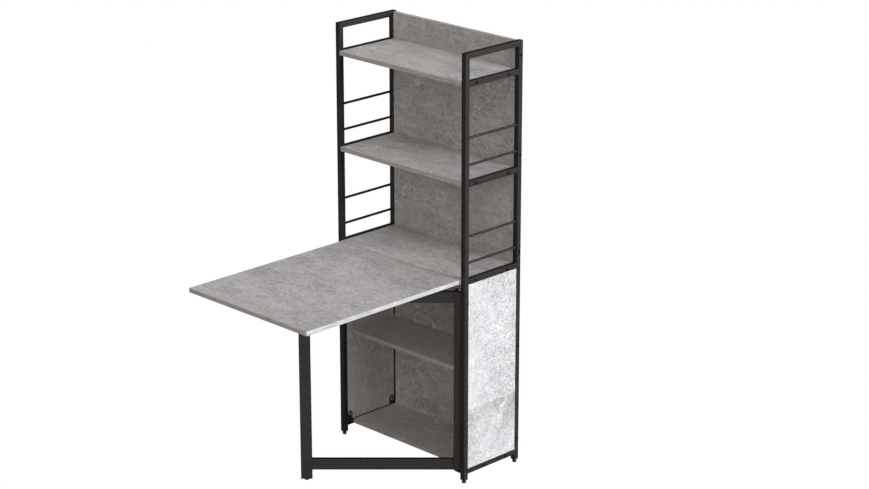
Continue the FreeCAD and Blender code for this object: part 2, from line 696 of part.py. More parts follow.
leaf = make_shelf("drop_leaf", "leaf_width", "leaf_length", "top_board",
                  "front_plane - seam_overhang - seam_gap - leaf_length", "table_height")
round_edges(leaf, "board_round", lambda edge: edge.BoundBox.YLength > value("leaf_length/2"))
drill_hinge_screws(leaf, "leaf_length - hinge_screw_y + seam_gap/2")


def hinge_half(name, way, spans):
    """Makes one plate of a butt hinge about the pin's axis, with knuckles over the given spans.

    The plate lies behind the axis for way 1 and ahead of it for way -1.
    """
    level = "hinge_drop - hinge_plate"
    wide = "hinge_plate_wide - hinge_drop"
    start = "hinge_drop" if way > 0 else "-hinge_plate_wide"
    pieces = [primitive("Part::Box", name + "_plate",
                        {"Length": "hinge_long", "Width": wide, "Height": "hinge_plate"},
                        ("-hinge_long/2", start, level))]
    for number, (low, long) in enumerate(spans):
        pieces.append(primitive("Part::Box", f"{name}_tongue_{number}",
                                {"Length": long, "Width": "hinge_drop", "Height": "hinge_plate"},
                                (low, "0" if way > 0 else "-hinge_drop", level)))
        pieces.append(primitive("Part::Cylinder", f"{name}_knuckle_{number}",
                                {"Radius": "hinge_knuckle/2", "Height": long}, (low, "0", "0"),
                                Rotation(Vector(0, 1, 0), 90)))
    holes = [primitive("Part::Cylinder", name + "_bore",
                       {"Radius": "hinge_pin/2 + running_play", "Height": "hinge_long + 2*overrun"},
                       ("-hinge_long/2 - overrun", "0", "0"), Rotation(Vector(0, 1, 0), 90))]
    for side, sign in SIDES:
        spot = (f"{sign}*hinge_screw_spread/2", f"{way}*hinge_screw_y", f"{level} - overrun")
        holes.append(primitive("Part::Cylinder", f"{name}_{side}_hole",
                               {"Radius": "hinge_screw/2 + bolt_play", "Height": "2*overrun"}, spot))
    return cut_away(name, fused(name + "_solid", pieces), holes)


fixed_half = hinge_half("fixed_hinge_pattern", 1,
                        [("-hinge_long/2", "end_knuckle"), ("hinge_long/2 - end_knuckle", "end_knuckle")])
leaf_half = hinge_half("leaf_hinge_pattern", -1,
                       [("-(middle_knuckle - side_play)/2", "middle_knuckle - side_play")])
hinge_pin = primitive("Part::Cylinder", "hinge_pin_pattern",
                      {"Radius": "hinge_pin/2", "Height": "hinge_long"})
hinge_screw = fused("hinge_screw_pattern", [
    primitive("Part::Cylinder", "hinge_screw_shank",
              {"Radius": "hinge_screw/2", "Height": "hinge_plate + hinge_screw_reach"}),
    primitive("Part::Cylinder", "hinge_screw_cap",
              {"Radius": "hinge_screw_head/2", "Height": "hinge_screw_head_high"},
              ("0", "0", "-hinge_screw_head_high")),
])
doc.recompute()

hinge_places = []
for number in HINGE_NUMBERS:
    middle = Vector(value(f"{number}*hinge_pitch"), value("hinge_y"), value("hinge_z"))
    hinge_places.append(Placement(middle, Rotation()))
along_hinge = Placement(Vector(-value("hinge_long")/2, 0, 0), facing(1))
group("fixed_hinge_plates", fixed_half, hinge_places)
group("leaf_hinge_plates", leaf_half, hinge_places)
group("hinge_pins", hinge_pin, [spot.multiply(along_hinge) for spot in hinge_places])
for label, way in (("fixed_hinge_screws", 1), ("leaf_hinge_screws", -1)):
    spots = []
    for spot in hinge_places:
        for side, sign in SIDES:
            offset = Vector(sign*value("hinge_screw_spread")/2, way*value("hinge_screw_y"),
                            value("hinge_drop - hinge_plate"))
            spots.append(Placement(spot.Base + offset, Rotation()))
    group(label, hinge_screw, spots)


# Gate leg: a frame of rectangular tube drawn along -x from its pivot axis, then turned open.

def new_gate_body(name):
    body = doc.addObject("PartDesign::Body", name)
    place_on_gate(body)
    return body


def make_gate_rail(name, low):
    body = new_gate_body(name)
    hollow_tube(body, "YZ", "gate_depth", "gate_face", "gate_reach - gate_face",
                ("0", f"{low} + gate_face/2", "-(gate_reach - gate_face/2)"))
    keep(body, name)


def make_end_piece(name, x, flange_low, flange_thick, plug_low, plug_long, bore=None):
    """Makes a plastic end piece: a flange of the tube's outline and a plug inside the tube."""
    body = new_gate_body(name)
    flange = new_sketch(body, "XY", (x, "0", flange_low))
    draw_rectangle(flange, "gate_face", "gate_depth")
    add_pad(body, flange, flange_thick)
    round_edges(body, "tube_round", lambda edge: edge.BoundBox.ZLength > value(flange_thick)/2)
    plug = new_sketch(body, "XY", (x, "0", plug_low))
    draw_rectangle(plug, "gate_plug_face", "gate_plug_depth")
    add_pad(body, plug, plug_long)
    if bore:
        hole = new_sketch(body, "XY", (x, "0", plug_low))
        draw_circle(hole, bore)
        add_pocket(body, hole)
    keep(body, name)


def make_pivot_plate(name, low):
    """Makes a plate welded to the post's inner face, with a round end about the pivot axis."""
    body = new_body(name, ("inner_half", "pivot_y", low), Rotation(UPRIGHT, 90))
    drawn = new_sketch(body, "XY")
    draw_arch(drawn, "2*plate_round", "pivot_inset + plate_round")
    draw_circle(drawn, "pivot_pin + 2*running_play", "0", "pivot_inset")
    add_pad(body, drawn, "pivot_plate")
    keep(body, name)


def make_pivot_pin(name, seat, way):
    """Makes a headed pin through its plate into the stile's bush, upwards for way 1 and downwards for -1."""
    long = "pivot_plate + plate_gap + bush_deep - side_play"
    shank_low = seat if way > 0 else f"{seat} - ({long})"
    head_low = f"{seat} - pivot_head_high" if way > 0 else seat
    pin = fused(name, [
        primitive("Part::Cylinder", name + "_shank", {"Radius": "pivot_pin/2", "Height": long},
                  ("pivot_x", "pivot_y", shank_low)),
        primitive("Part::Cylinder", name + "_head", {"Radius": "pivot_head/2", "Height": "pivot_head_high"},
                  ("pivot_x", "pivot_y", head_low)),
    ])
    keep(pin, name)


gate_leg = new_gate_body("gate_leg")
hollow_tube(gate_leg, "XY", "gate_face", "gate_depth", "leg_top - glide_high",
            ("-gate_reach", "0", "glide_high"))
keep(gate_leg, "gate_leg")
gate_stile = new_gate_body("gate_stile")
hollow_tube(gate_stile, "XY", "gate_face", "gate_depth", "gate_high - gate_low",
            ("0", "0", "gate_low"))
keep(gate_stile, "gate_stile")
make_gate_rail("gate_bottom_rail", "gate_low")
make_gate_rail("gate_top_rail", "gate_high - gate_face")

make_end_piece("gate_leg_cap", "-gate_reach", "leg_top", "leg_pad", "leg_top - plug_deep", "plug_deep")
make_end_piece("gate_upper_bush", "0", "gate_high", "bush_flange", "gate_high - bush_deep", "bush_deep",
               "pivot_pin + 2*running_play")
make_end_piece("gate_lower_bush", "0", "gate_low - bush_flange", "bush_flange", "gate_low", "bush_deep",
               "pivot_pin + 2*running_play")

glide = new_gate_body("gate_leg_glide")
glide_disc = new_sketch(glide, "XY", ("-gate_reach", "0", "0"))
draw_circle(glide_disc, "glide_wide")
add_pad(glide, glide_disc, "glide_high")
round_edges(glide, "foot_round", lambda edge: edge.BoundBox.ZMax < value("foot_round"))
glide_plug = new_sketch(glide, "XY", ("-gate_reach", "0", "glide_high"))
draw_rectangle(glide_plug, "gate_plug_face", "gate_plug_depth")
add_pad(glide, glide_plug, "plug_deep")
keep(glide, "gate_leg_glide")

make_pivot_plate("upper_pivot_plate", "gate_high + plate_gap")
make_pivot_plate("lower_pivot_plate", "gate_low - plate_gap - pivot_plate")
make_pivot_pin("upper_pivot_pin", "gate_high + plate_gap + pivot_plate", -1)
make_pivot_pin("lower_pivot_pin", "gate_low - plate_gap - pivot_plate", 1)


# Test every object, then write one file for each sub-part.

doc.recompute()
failed = [thing.Name for thing in doc.Objects if {"Invalid", "Error"} & set(thing.State)]
failed += [thing.Label for thing in subparts if thing.Shape.isNull() or not thing.Shape.isValid()]
if failed:
    raise RuntimeError("these did not build: " + ", ".join(failed))
os.makedirs("parts", exist_ok=True)
for thing in subparts:
    thing.Shape.exportStep(f"parts/{thing.Label}.step")
print(f"{len(subparts)} sub-parts, {sum(len(thing.Shape.Solids) for thing in subparts)} solids")
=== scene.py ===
# %% [markdown]
# # A folding table with shelves
# The table is two dark tube frames that carry grey boards with a cast-concrete look.
# The solids arrive as a fixed frame, already at their real size and place.
# This lesson dresses that frame: it mixes the finishes, bands the boards' edges, welds the
# rods and rails, drives the screws, places a camera and lights the table.

# %% Load the frame
import json
import math
from collections import namedtuple

import bmesh
import bpy
import numpy as np
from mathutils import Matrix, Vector


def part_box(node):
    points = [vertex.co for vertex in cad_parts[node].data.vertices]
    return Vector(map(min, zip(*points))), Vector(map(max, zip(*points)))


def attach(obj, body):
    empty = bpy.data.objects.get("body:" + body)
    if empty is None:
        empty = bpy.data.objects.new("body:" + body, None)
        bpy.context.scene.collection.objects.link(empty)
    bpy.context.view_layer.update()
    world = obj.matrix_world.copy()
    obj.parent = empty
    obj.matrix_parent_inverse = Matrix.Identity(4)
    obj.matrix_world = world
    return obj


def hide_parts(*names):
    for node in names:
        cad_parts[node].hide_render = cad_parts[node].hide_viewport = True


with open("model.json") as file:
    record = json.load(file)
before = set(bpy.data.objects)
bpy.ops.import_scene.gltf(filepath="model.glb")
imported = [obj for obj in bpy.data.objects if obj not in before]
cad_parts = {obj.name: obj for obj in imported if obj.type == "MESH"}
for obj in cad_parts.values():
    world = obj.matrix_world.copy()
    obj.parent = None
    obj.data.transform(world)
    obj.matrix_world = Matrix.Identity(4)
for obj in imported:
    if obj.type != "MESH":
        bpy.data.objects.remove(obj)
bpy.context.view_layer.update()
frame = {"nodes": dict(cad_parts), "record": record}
nodes = frame["nodes"]
MM = 0.001

# %% [markdown]
# ## Camera
# The photograph looks down on the table's right front corner through a long lens.
# A camera is placed by a position, a heading and a tilt, so that nobody has to aim it by hand:
# the heading turns it to the left of straight ahead, and the tilt lowers its view.

# %% Set up the camera
CAMERA_PLACE = Vector((5.7556, -5.3584, 3.5436))
CAMERA_HEADING = math.radians(45.05)
CAMERA_TILT = math.radians(18.8)
CAMERA_LENS = 100.04
FILM_WIDTH = 36.0


def aim(heading, tilt):
    """Returns the unit vector of a view turned left by heading and lowered by tilt."""
    level = math.cos(tilt)
    return Vector((-math.sin(heading)*level, math.cos(heading)*level, -math.sin(tilt)))


camera_data = bpy.data.cameras.new("camera")
camera_data.lens = CAMERA_LENS
camera_data.sensor_width = FILM_WIDTH
camera = bpy.data.objects.new("camera", camera_data)
camera.location = CAMERA_PLACE
camera.rotation_mode = "QUATERNION"
camera.rotation_quaternion = aim(CAMERA_HEADING, CAMERA_TILT).to_track_quat("-Z", "Y")
bpy.context.scene.collection.objects.link(camera)
bpy.context.scene.camera = camera
print(f"camera {CAMERA_LENS} mm at {tuple(round(x, 3) for x in CAMERA_PLACE)}")

# %% [markdown]
# ## Node helpers
# Every finish is a small network of shader nodes. A few helpers keep the networks readable:
# they start a material, add a node with its inputs, give a finish its fine relief, and dress
# a node of the frame.

# %% Start materials and nodes
def new_material(name):
    """Starts an empty node material and returns it with its tree and its shader."""
    made = bpy.data.materials.new(name)
    made.use_nodes = True
    tree = made.node_tree
    tree.nodes.clear()
    shader = tree.nodes.new("ShaderNodeBsdfPrincipled")
    output = tree.nodes.new("ShaderNodeOutputMaterial")
    tree.links.new(shader.outputs["BSDF"], output.inputs["Surface"])
    return made, tree, shader


def feed(tree, socket, source):
    """Links a socket to another node's output, or sets it to a plain value."""
    if isinstance(source, bpy.types.NodeSocket):
        tree.links.new(source, socket)
    else:
        socket.default_value = source


def add(tree, kind, inputs=None, **settings):
    """Adds a node, sets its properties, feeds its inputs and returns it."""
    node = tree.nodes.new("ShaderNode" + kind)
    for key, setting in settings.items():
        setattr(node, key, setting)
    for key, source in (inputs or {}).items():
        feed(tree, node.inputs[key], source)
    return node


def emboss(tree, shader, relief, strength, depth):
    """Gives a finish a fine relief of the given depth, which bends the light and not the shape."""
    bump = add(tree, "Bump", {"Strength": strength, "Distance": depth, "Height": relief})
    feed(tree, shader.inputs["Normal"], bump.outputs["Normal"])


def dress(node, finish):
    """Gives a node of the frame its finish in place of the plain one that it came with."""
    nodes[node].data.materials.clear()
    nodes[node].data.materials.append(finish)


print("materials and nodes can be started")

# %% [markdown]
# Some nodes come up again and again: sums, stretched ranges, mixes of two colours, noises,
# and coordinates that are turned, stretched or pushed. Each has a helper that returns its
# output, so that a network reads like a formula.

# %% Write the everyday nodes
MIX_SOCKETS = (0, 6, 7)
MIX_RESULT = 2


def math_node(tree, operation, first, second=0.0, clamp=False):
    """Works out one sum, difference, product or size."""
    node = add(tree, "Math", {0: first, 1: second}, operation=operation, use_clamp=clamp)
    return node.outputs[0]


def total(tree, parts):
    """Adds up several values and holds the sum between 0 and 1."""
    result = parts[0]
    for part in parts[1:]:
        result = math_node(tree, "ADD", result, part, clamp=part is parts[-1])
    return result


def remap(tree, source, low, high, to_low=0.0, to_high=1.0):
    """Stretches a value from one range to another and holds it at the ends."""
    node = add(tree, "MapRange", {"Value": source, "From Min": low, "From Max": high,
                                  "To Min": to_low, "To Max": to_high}, clamp=True)
    return node.outputs["Result"]


def mix_colour(tree, factor, first, second):
    """Mixes two colours: the first times one minus the factor, plus the second times the factor."""
    node = add(tree, "Mix", data_type="RGBA")
    for socket, source in zip(MIX_SOCKETS, (factor, first, second)):
        feed(tree, node.inputs[socket], source)
    return node.outputs[MIX_RESULT]


def noise(tree, vector, scale, detail=4.0, roughness=0.55, distortion=0.0):
    """Returns a cloudy value about one half, with about scale clouds to the metre."""
    node = add(tree, "TexNoise", {"Vector": vector, "Scale": scale, "Detail": detail,
                                  "Roughness": roughness, "Distortion": distortion})
    return node.outputs["Fac"]


def mapped(tree, vector, place=(0, 0, 0), turn=(0, 0, 0), scale=(1, 1, 1)):
    """Stretches coordinates, turns them by degrees and then moves them."""
    node = add(tree, "Mapping", {"Vector": vector, "Location": place,
                                 "Rotation": tuple(math.radians(x) for x in turn), "Scale": scale})
    return node.outputs["Vector"]


def pushed(tree, vector, push):
    """Moves coordinates by a value of their own along each named axis."""
    offset = add(tree, "CombineXYZ", push).outputs["Vector"]
    return add(tree, "VectorMath", {0: vector, 1: offset}, operation="ADD").outputs["Vector"]


def object_place(tree):
    """Returns the place on the table, in metres."""
    return add(tree, "TexCoord").outputs["Object"]


print("everyday nodes ready")

# %% [markdown]
# ## Concrete-look laminate
# The boards are chipboard under a printed paper that looks like trowelled concrete.
# Seen closely it has several layers: wide clouds, smaller blotches, trowel strokes with sharp
# ends, fine brushed lines, sandy patches, dark pits, soft veins, scratches and cracks.
# Each layer is a noise of its own size, and together they choose a tone between two greys.
# A photograph of concrete would be the usual way, but noise has no edges, never repeats,
# and reaches round the board, so the pattern on an edge continues the one on the face.

# %% Choose the greys
LAMINATE_DARK = (0.175, 0.169, 0.164, 1)
LAMINATE_LIGHT = (0.600, 0.594, 0.589, 1)
PALE_LINE = (0.66, 0.655, 0.65, 1)
DARK_LINE = (0.12, 0.116, 0.112, 1)
MIDDLE_TONE = 0.42
BOARD_SHINE = 0.3
print(f"greys from {LAMINATE_DARK[0]} to {LAMINATE_LIGHT[0]}, middle tone {MIDDLE_TONE}")

# %% [markdown]
# A trowel leaves long flat strokes, each a little lighter or darker than the next.
# Stretched cells do the same: every cell has a random tone of its own, and a noise pushes
# its border about, so that no stroke ends in a straight line.

# %% Draw the trowel strokes
STROKE_STRETCH = (2.2, 7.5, 4.0)
STROKE_SCALE = 1.35
STROKE_WANDER = {"X": 0.40, "Y": 0.55}


def stroke_tones(tree, where, turn, wander):
    """Returns a random tone for each stroke: stretched cells whose borders wander with a noise."""
    space = mapped(tree, where, turn=turn, scale=STROKE_STRETCH)
    push = {axis: math_node(tree, "MULTIPLY", wander, reach) for axis, reach in STROKE_WANDER.items()}
    cells = add(tree, "TexVoronoi", {"Vector": pushed(tree, space, push), "Scale": STROKE_SCALE})
    return add(tree, "SeparateColor", {"Color": cells.outputs["Color"]}).outputs["Red"]


print(f"strokes {STROKE_STRETCH[1]/STROKE_STRETCH[0]:.1f} times as long as wide")

# %% [markdown]
# Scratches are thin pale lines that run a short way and bend a little. A noise that is drawn
# out along one direction has long crests, and only the highest of them are shown.

# %% Draw the scratches
SCRATCH_SLANTS = (35, -48)
SCRATCH_STRETCH = (12.0, 230.0, 230.0)
SCRATCH_BEND = 0.16
SCRATCH_CRESTS = (0.70, 0.76)
SCRATCH_STRENGTH = 0.6
SLOW_SCALE = 6.0


def slow_noise(tree, where):
    """Returns a smooth noise of wide clouds, which bends the scratches and places the cracks."""
    return noise(tree, where, SLOW_SCALE, detail=1.0)


def scratch_lines(tree, where, turn, slant):
    """Returns thin lines: the few highest crests of a noise that is drawn out along one direction.

    A slow noise bends the space first, so that the lines are slightly curved.
    """
    bend = math_node(tree, "MULTIPLY", slow_noise(tree, where), SCRATCH_BEND)
    bent = pushed(tree, where, dict.fromkeys("XYZ", bend))
    slanted = tuple(angle + slant for angle in turn)
    space = mapped(tree, bent, turn=slanted, scale=SCRATCH_STRETCH)
    crests = noise(tree, space, 1.0, detail=1.5, roughness=0.5)
    return remap(tree, crests, *SCRATCH_CRESTS, 0.0, SCRATCH_STRENGTH)


print(f"scratches slant by {SCRATCH_SLANTS} degrees from the strokes")

# %% [markdown]
# Cracks and veins are crooked lines, like the contour lines of a map: they lie where a rough
# noise passes its middle value. A crack is narrow and shows only in some places, a vein is
# wide and soft and runs everywhere.

# %% Draw the cracks and veins
NOISE_MIDDLE = 0.5
CRACK_SCALE = 4.5
CRACK_WIDTH = 0.009
CRACK_FADE = 0.06
PALE_CRACKS = ((0.31, 0.17, 0.52), (2.10, 1.30, 0.70))
PALE_RARITY = 0.58
DARK_CRACKS = (4.30, 0.60, 1.90)
DARK_RARITY = 0.66
VEIN_SCALE = 11.0
VEIN_WIDTH = 0.07


def contour_lines(tree, source, width):
    """Returns one where a noise passes its middle value, falling to zero at the width on both sides."""
    swing = math_node(tree, "SUBTRACT", source, NOISE_MIDDLE)
    return remap(tree, math_node(tree, "ABSOLUTE", swing), 0.0, width, 1.0, 0.0)


def crack_lines(tree, where, shift, rarity, strength):
    """Returns narrow contour lines, shown only where a slow noise is above the rarity."""
    space = mapped(tree, where, place=shift)
    rough = noise(tree, space, CRACK_SCALE, detail=4.0, roughness=0.55, distortion=0.3)
    line = contour_lines(tree, rough, CRACK_WIDTH)
    shown = remap(tree, slow_noise(tree, space), rarity, rarity + CRACK_FADE, 0.0, strength)
    return math_node(tree, "MULTIPLY", line, shown)


def soft_veins(tree, where):
    """Returns wide contour lines that fade to both sides."""
    rough = noise(tree, where, VEIN_SCALE, detail=5.0, roughness=0.6, distortion=0.9)
    return contour_lines(tree, rough, VEIN_WIDTH)


print(f"{len(PALE_CRACKS)} sets of pale cracks, one of dark ones, and veins")

# %% [markdown]
# Sand shows as a fine grain where concrete was rubbed, and hardly at all where the trowel
# pressed it smooth. So the grain's swing is multiplied by a slower noise.

# %% Strew the sand
PATCH_SCALE = 6.5
PATCH_RANGE = (0.40, 0.60)
PATCH_GRAIN = (0.45, 1.45)


def patchy_sand(tree, where, sand):
    """Returns the sand's swing about zero, strong in some patches and faint in those between."""
    slow = noise(tree, where, PATCH_SCALE, detail=4.0, roughness=0.6, distortion=0.4)
    patch = remap(tree, slow, *PATCH_RANGE, *PATCH_GRAIN)
    return math_node(tree, "MULTIPLY", math_node(tree, "SUBTRACT", sand, NOISE_MIDDLE), patch)


print(f"grain from {PATCH_GRAIN[0]} to {PATCH_GRAIN[1]} times the usual")

# %% [markdown]
# Two marks have a set place. A narrow strip along the seam between the leaf and the fixed top is
# painted darker, a painted shadow of the gap between them. And low on the right panel the printed
# pattern starts again: the tone drops at that edge, and comes back further down.

# %% Paint the seam's shadow and darken the edge of the print
SEAM_BOARDS = ("drop_leaf", "fixed_top")
SEAM_PLACE = (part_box("drop_leaf")[1].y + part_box("fixed_top")[0].y)/2
# Painted shadow: the colour and the strength of the darkening along the seam.
SEAM_SHADOW_COLOUR = (0.03, 0.029, 0.028, 1)
SEAM_SHADOW_STRENGTH = 0.25
SEAM_HALF = 1.4*MM
SEAM_END = 2.4*MM
PRINTED_TWICE = "right_panel"
PRINT_EDGE = 276*MM
PRINT_STEP = 2*MM
PRINT_FADE = 180*MM
PRINT_FADED = 0.2


def along_axis(tree, axis):
    """Returns the place along one axis of the table, in metres."""
    return add(tree, "SeparateXYZ", {"Vector": object_place(tree)}).outputs[axis]


def painted_seam_shadow(tree):
    """Returns the strength of the painted shadow in a narrow strip about the seam, and zero elsewhere.
    """
    offset = math_node(tree, "SUBTRACT", along_axis(tree, "Y"), SEAM_PLACE)
    return remap(tree, math_node(tree, "ABSOLUTE", offset), SEAM_HALF, SEAM_END, SEAM_SHADOW_STRENGTH, 0.0)


def print_edge(tree):
    """Returns zero above the edge of the print, one just below it, and less further down."""
    height = along_axis(tree, "Z")
    below = remap(tree, height, PRINT_EDGE, PRINT_EDGE + PRINT_STEP, 1.0, 0.0)
    fading = remap(tree, height, PRINT_EDGE - PRINT_FADE, PRINT_EDGE, PRINT_FADED, 1.0)
    return math_node(tree, "MULTIPLY", below, fading)


print(f"seam at y = {SEAM_PLACE:.4f} m, print edge at z = {PRINT_EDGE:.3f} m")

# %% [markdown]
# Now the layers are added up. Each noise has a scale, a detail, a roughness and a distortion.
# Each layer shows between two of its values, and moves the tone by its reach, half of it up
# and half of it down. A layer's tones are these three numbers.

# %% Add up the layers
CLOUDS = (4.0, 6.0, 0.60, 0.6)
CLOUD_TONES = (0.34, 0.66, 0.16)
BLOTCHES = (17.0, 7.0, 0.70, 0.4)
BLOTCH_TONES = (0.30, 0.70, 0.16)
BRUSHED_TONES = (0.28, 0.72, 0.28)
SPECKLE = (80.0, 7.0, 0.75, 0.5)
SPECKLE_TONES = (0.30, 0.70, 0.30)
PIT_SCALE = 95.0
PIT_TONES = (0.10, 0.20, 0.18)
SAND_SHOWN = (-0.30, 0.30)
SAND_REACH = 0.93
WHOLE_RANGE = (0.0, 1.0)
PRINT_REACH = -0.16


def layered_tone(tree, where, board, recipe, sand, brushed):
    """Returns the tone: a middle tone, the board's painted lighting and the share of every layer."""
    blotches = noise(tree, where, *BLOTCHES)
    pits = add(tree, "TexVoronoi", {"Vector": where, "Scale": PIT_SCALE}).outputs["Distance"]
    layers = [
        (noise(tree, where, *CLOUDS), *CLOUD_TONES),
        (blotches, *BLOTCH_TONES),
        (stroke_tones(tree, where, recipe.turn, blotches), *WHOLE_RANGE, recipe.stroke),
        (brushed, *BRUSHED_TONES),
        (noise(tree, where, *SPECKLE), *SPECKLE_TONES),
        (pits, *PIT_TONES),
        (soft_veins(tree, where), *WHOLE_RANGE, recipe.vein),
        (patchy_sand(tree, where, sand), *SAND_SHOWN, SAND_REACH*recipe.grain)]
    if board == PRINTED_TWICE:
        layers.append((print_edge(tree), *WHOLE_RANGE, PRINT_REACH))
    shares = [remap(tree, source, low, high, -reach/2, reach/2) for source, low, high, reach in layers]
    # Painted lighting: the whole board is made lighter or darker to stand for the light on it.
    shares[0] = math_node(tree, "ADD", shares[0], MIDDLE_TONE + recipe.shade)
    return total(tree, shares)


def drawn_lines(tree, where, recipe, colour):
    """Mixes the scratches, the pale cracks and the dark cracks over a colour, in this order."""
    lines = [(scratch_lines(tree, where, recipe.turn, slant), PALE_LINE) for slant in SCRATCH_SLANTS]
    lines += [(crack_lines(tree, where, shift, PALE_RARITY, recipe.crack), PALE_LINE)
              for shift in PALE_CRACKS]
    lines.append((crack_lines(tree, where, DARK_CRACKS, DARK_RARITY, recipe.crack), DARK_LINE))
    for strength, line_colour in lines:
        colour = mix_colour(tree, strength, colour, line_colour)
    return colour


print(f"the sand moves the tone by {SAND_REACH}, the clouds by {CLOUD_TONES[2]}")

# %% [markdown]
# No two boards are cut from the same place of the roll, and each lies in its own direction.
# So every board has a recipe: its cut, the trowel's direction in degrees, the strength of
# the grain, the strokes, the veins and the cracks, and its painted lighting: the whole board
# is painted lighter or darker to stand for the light that falls on it.

# %% Lay the laminate on the boards
CUT_STEP = (1.7, 2.3, 0.9)
SAND = (210.0, 6.0, 0.80)
BRUSHED = (1.0, 6.0, 0.68)
BRUSHED_STRETCH = (9.0, 150.0, 95.0)
SAND_SHEEN = (0.25, 0.75, 0.52, 0.72)
SAND_RELIEF = 0.6
BRUSHED_RELIEF = 0.4
# The last column is painted lighting: a lift or drop of the board's whole tone for the light on it.
Recipe = namedtuple("Recipe", "cut turn grain stroke vein crack shade")
TROWEL = {
    "top_shelf": Recipe(11, (0, 0, 14), 1.1, 0.14, 0.14, 0.8, -0.01),
    "middle_shelf": Recipe(2, (0, 0, -21), 1.1, 0.14, 0.12, 0.6, -0.11),
    "fixed_top": Recipe(63, (0, 0, 12), 1.2, 0.12, 0.12, 0.5, -0.10),
    "drop_leaf": Recipe(84, (0, 0, 38), 1.4, 0.12, 0.10, 0.35, -0.08),
    "lower_shelf": Recipe(45, (0, 0, 17), 1.0, 0.12, 0.12, 0.7, 0.18),
    "bottom_shelf": Recipe(106, (0, 0, -22), 1.0, 0.12, 0.12, 0.7, 0.04),
    "back_panel": Recipe(37, (0, 62, 0), 1.5, 0.14, 0.12, 0.85, -0.02),
    "left_panel": Recipe(98, (24, 0, 90), 1.6, 0.12, 0.12, 0.7, 0.08),
    "right_panel": Recipe(29, (-80, 0, 90), 2.1, 0.10, 0.10, 0.7, -0.12),
}


def concrete(board, recipe):
    """Makes a board's laminate: the tone picks a grey, lines go over it, and the sand gives relief."""
    made, tree, shader = new_material(board + "_laminate")
    where = mapped(tree, object_place(tree), place=tuple(recipe.cut*step for step in CUT_STEP))
    sand = noise(tree, where, *SAND)
    brushed = noise(tree, mapped(tree, where, turn=recipe.turn, scale=BRUSHED_STRETCH), *BRUSHED)
    tone = layered_tone(tree, where, board, recipe, sand, brushed)
    colour = mix_colour(tree, tone, LAMINATE_DARK, LAMINATE_LIGHT)
    colour = drawn_lines(tree, where, recipe, colour)
    # Painted shadow: the laminate is darkened along the gap between the leaf and the fixed top.
    if board in SEAM_BOARDS:
        colour = mix_colour(tree, painted_seam_shadow(tree), colour, SEAM_SHADOW_COLOUR)
    feed(tree, shader.inputs["Base Color"], colour)
    feed(tree, shader.inputs["Roughness"], remap(tree, sand, *SAND_SHEEN))
    shader.inputs["Specular IOR Level"].default_value = BOARD_SHINE
    relief = total(tree, [math_node(tree, "MULTIPLY", sand, SAND_RELIEF),
                          math_node(tree, "MULTIPLY", brushed, BRUSHED_RELIEF)])
    emboss(tree, shader, relief, strength=0.2, depth=0.4*MM)
    return made


for board, recipe in TROWEL.items():
    dress(board, concrete(board, recipe))
print(f"{len(TROWEL)} boards have their laminate")

# %% [markdown]
# ## Powder coat, plastic and steel
# The frames are sprayed with a dark powder that melts into a satin skin with a faint orange
# peel. Three noises do it: a fine one for the specks of the powder, a slow one for the drift
# in colour and sheen, and one between them for the peel.
# The same recipe, with other numbers, gives moulded plastic and plated steel.

# %% Mix the paint, plastic and steel
SPECKS = (900.0, 2.0, 0.6)
SPECKS_SHOWN = (0.45, 0.75)
SPECKS_SHARE = 0.6
DRIFT = (7.0, 4.0, 0.6)
DRIFT_SHOWN = (0.3, 0.7)
DRIFT_SHARE = 0.4
SHEEN_SWING = 0.06


def coated(name, colour, speck_colour, roughness, peel_scale, peel_depth, metallic=0.0, shine=0.3):
    """Makes a coated or moulded finish with specks in its colour and a fine uneven skin."""
    made, tree, shader = new_material(name)
    where = object_place(tree)
    specks = remap(tree, noise(tree, where, *SPECKS), *SPECKS_SHOWN, 0.0, SPECKS_SHARE)
    drift = noise(tree, where, *DRIFT)
    tone = total(tree, [specks, remap(tree, drift, *DRIFT_SHOWN, 0.0, DRIFT_SHARE)])
    feed(tree, shader.inputs["Base Color"], mix_colour(tree, tone, colour, speck_colour))
    sheen = remap(tree, drift, *DRIFT_SHOWN, roughness - SHEEN_SWING, roughness + SHEEN_SWING)
    feed(tree, shader.inputs["Roughness"], sheen)
    peel = noise(tree, where, peel_scale, detail=3.0, roughness=0.6)
    emboss(tree, shader, peel, strength=0.25, depth=peel_depth)
    shader.inputs["Metallic"].default_value = metallic
    shader.inputs["Specular IOR Level"].default_value = shine
    return made


frame_paint = coated("frame_paint", (0.0058, 0.0048, 0.0041, 1), (0.0106, 0.0088, 0.0075, 1),
                     roughness=0.5, peel_scale=420.0, peel_depth=0.25*MM)
fitting_paint = coated("fitting_paint", (0.010, 0.0092, 0.0088, 1), (0.018, 0.0165, 0.0158, 1),
                       roughness=0.42, peel_scale=700.0, peel_depth=0.1*MM)
bolt_finish = coated("bolt_finish", (0.0012, 0.0011, 0.0011, 1), (0.003, 0.0028, 0.0027, 1),
                     roughness=0.45, peel_scale=800.0, peel_depth=0.05*MM, shine=0.1)
black_plastic = coated("black_plastic", (0.009, 0.009, 0.009, 1), (0.017, 0.017, 0.017, 1),
                       roughness=0.55, peel_scale=500.0, peel_depth=0.2*MM)
bright_steel = coated("bright_steel", (0.50, 0.50, 0.51, 1), (0.62, 0.62, 0.63, 1),
                      roughness=0.34, peel_scale=300.0, peel_depth=0.05*MM, metallic=1.0)
SLOT_FINISHES = {"frame_paint": frame_paint, "dark_fittings": fitting_paint,
                 "black_plastic": black_plastic, "steel": bright_steel}
for row in frame["record"]["subparts"]:
    if row["material_slot"] in SLOT_FINISHES:
        dress(row["node"], SLOT_FINISHES[row["material_slot"]])
print("finishes:", ", ".join(SLOT_FINISHES))

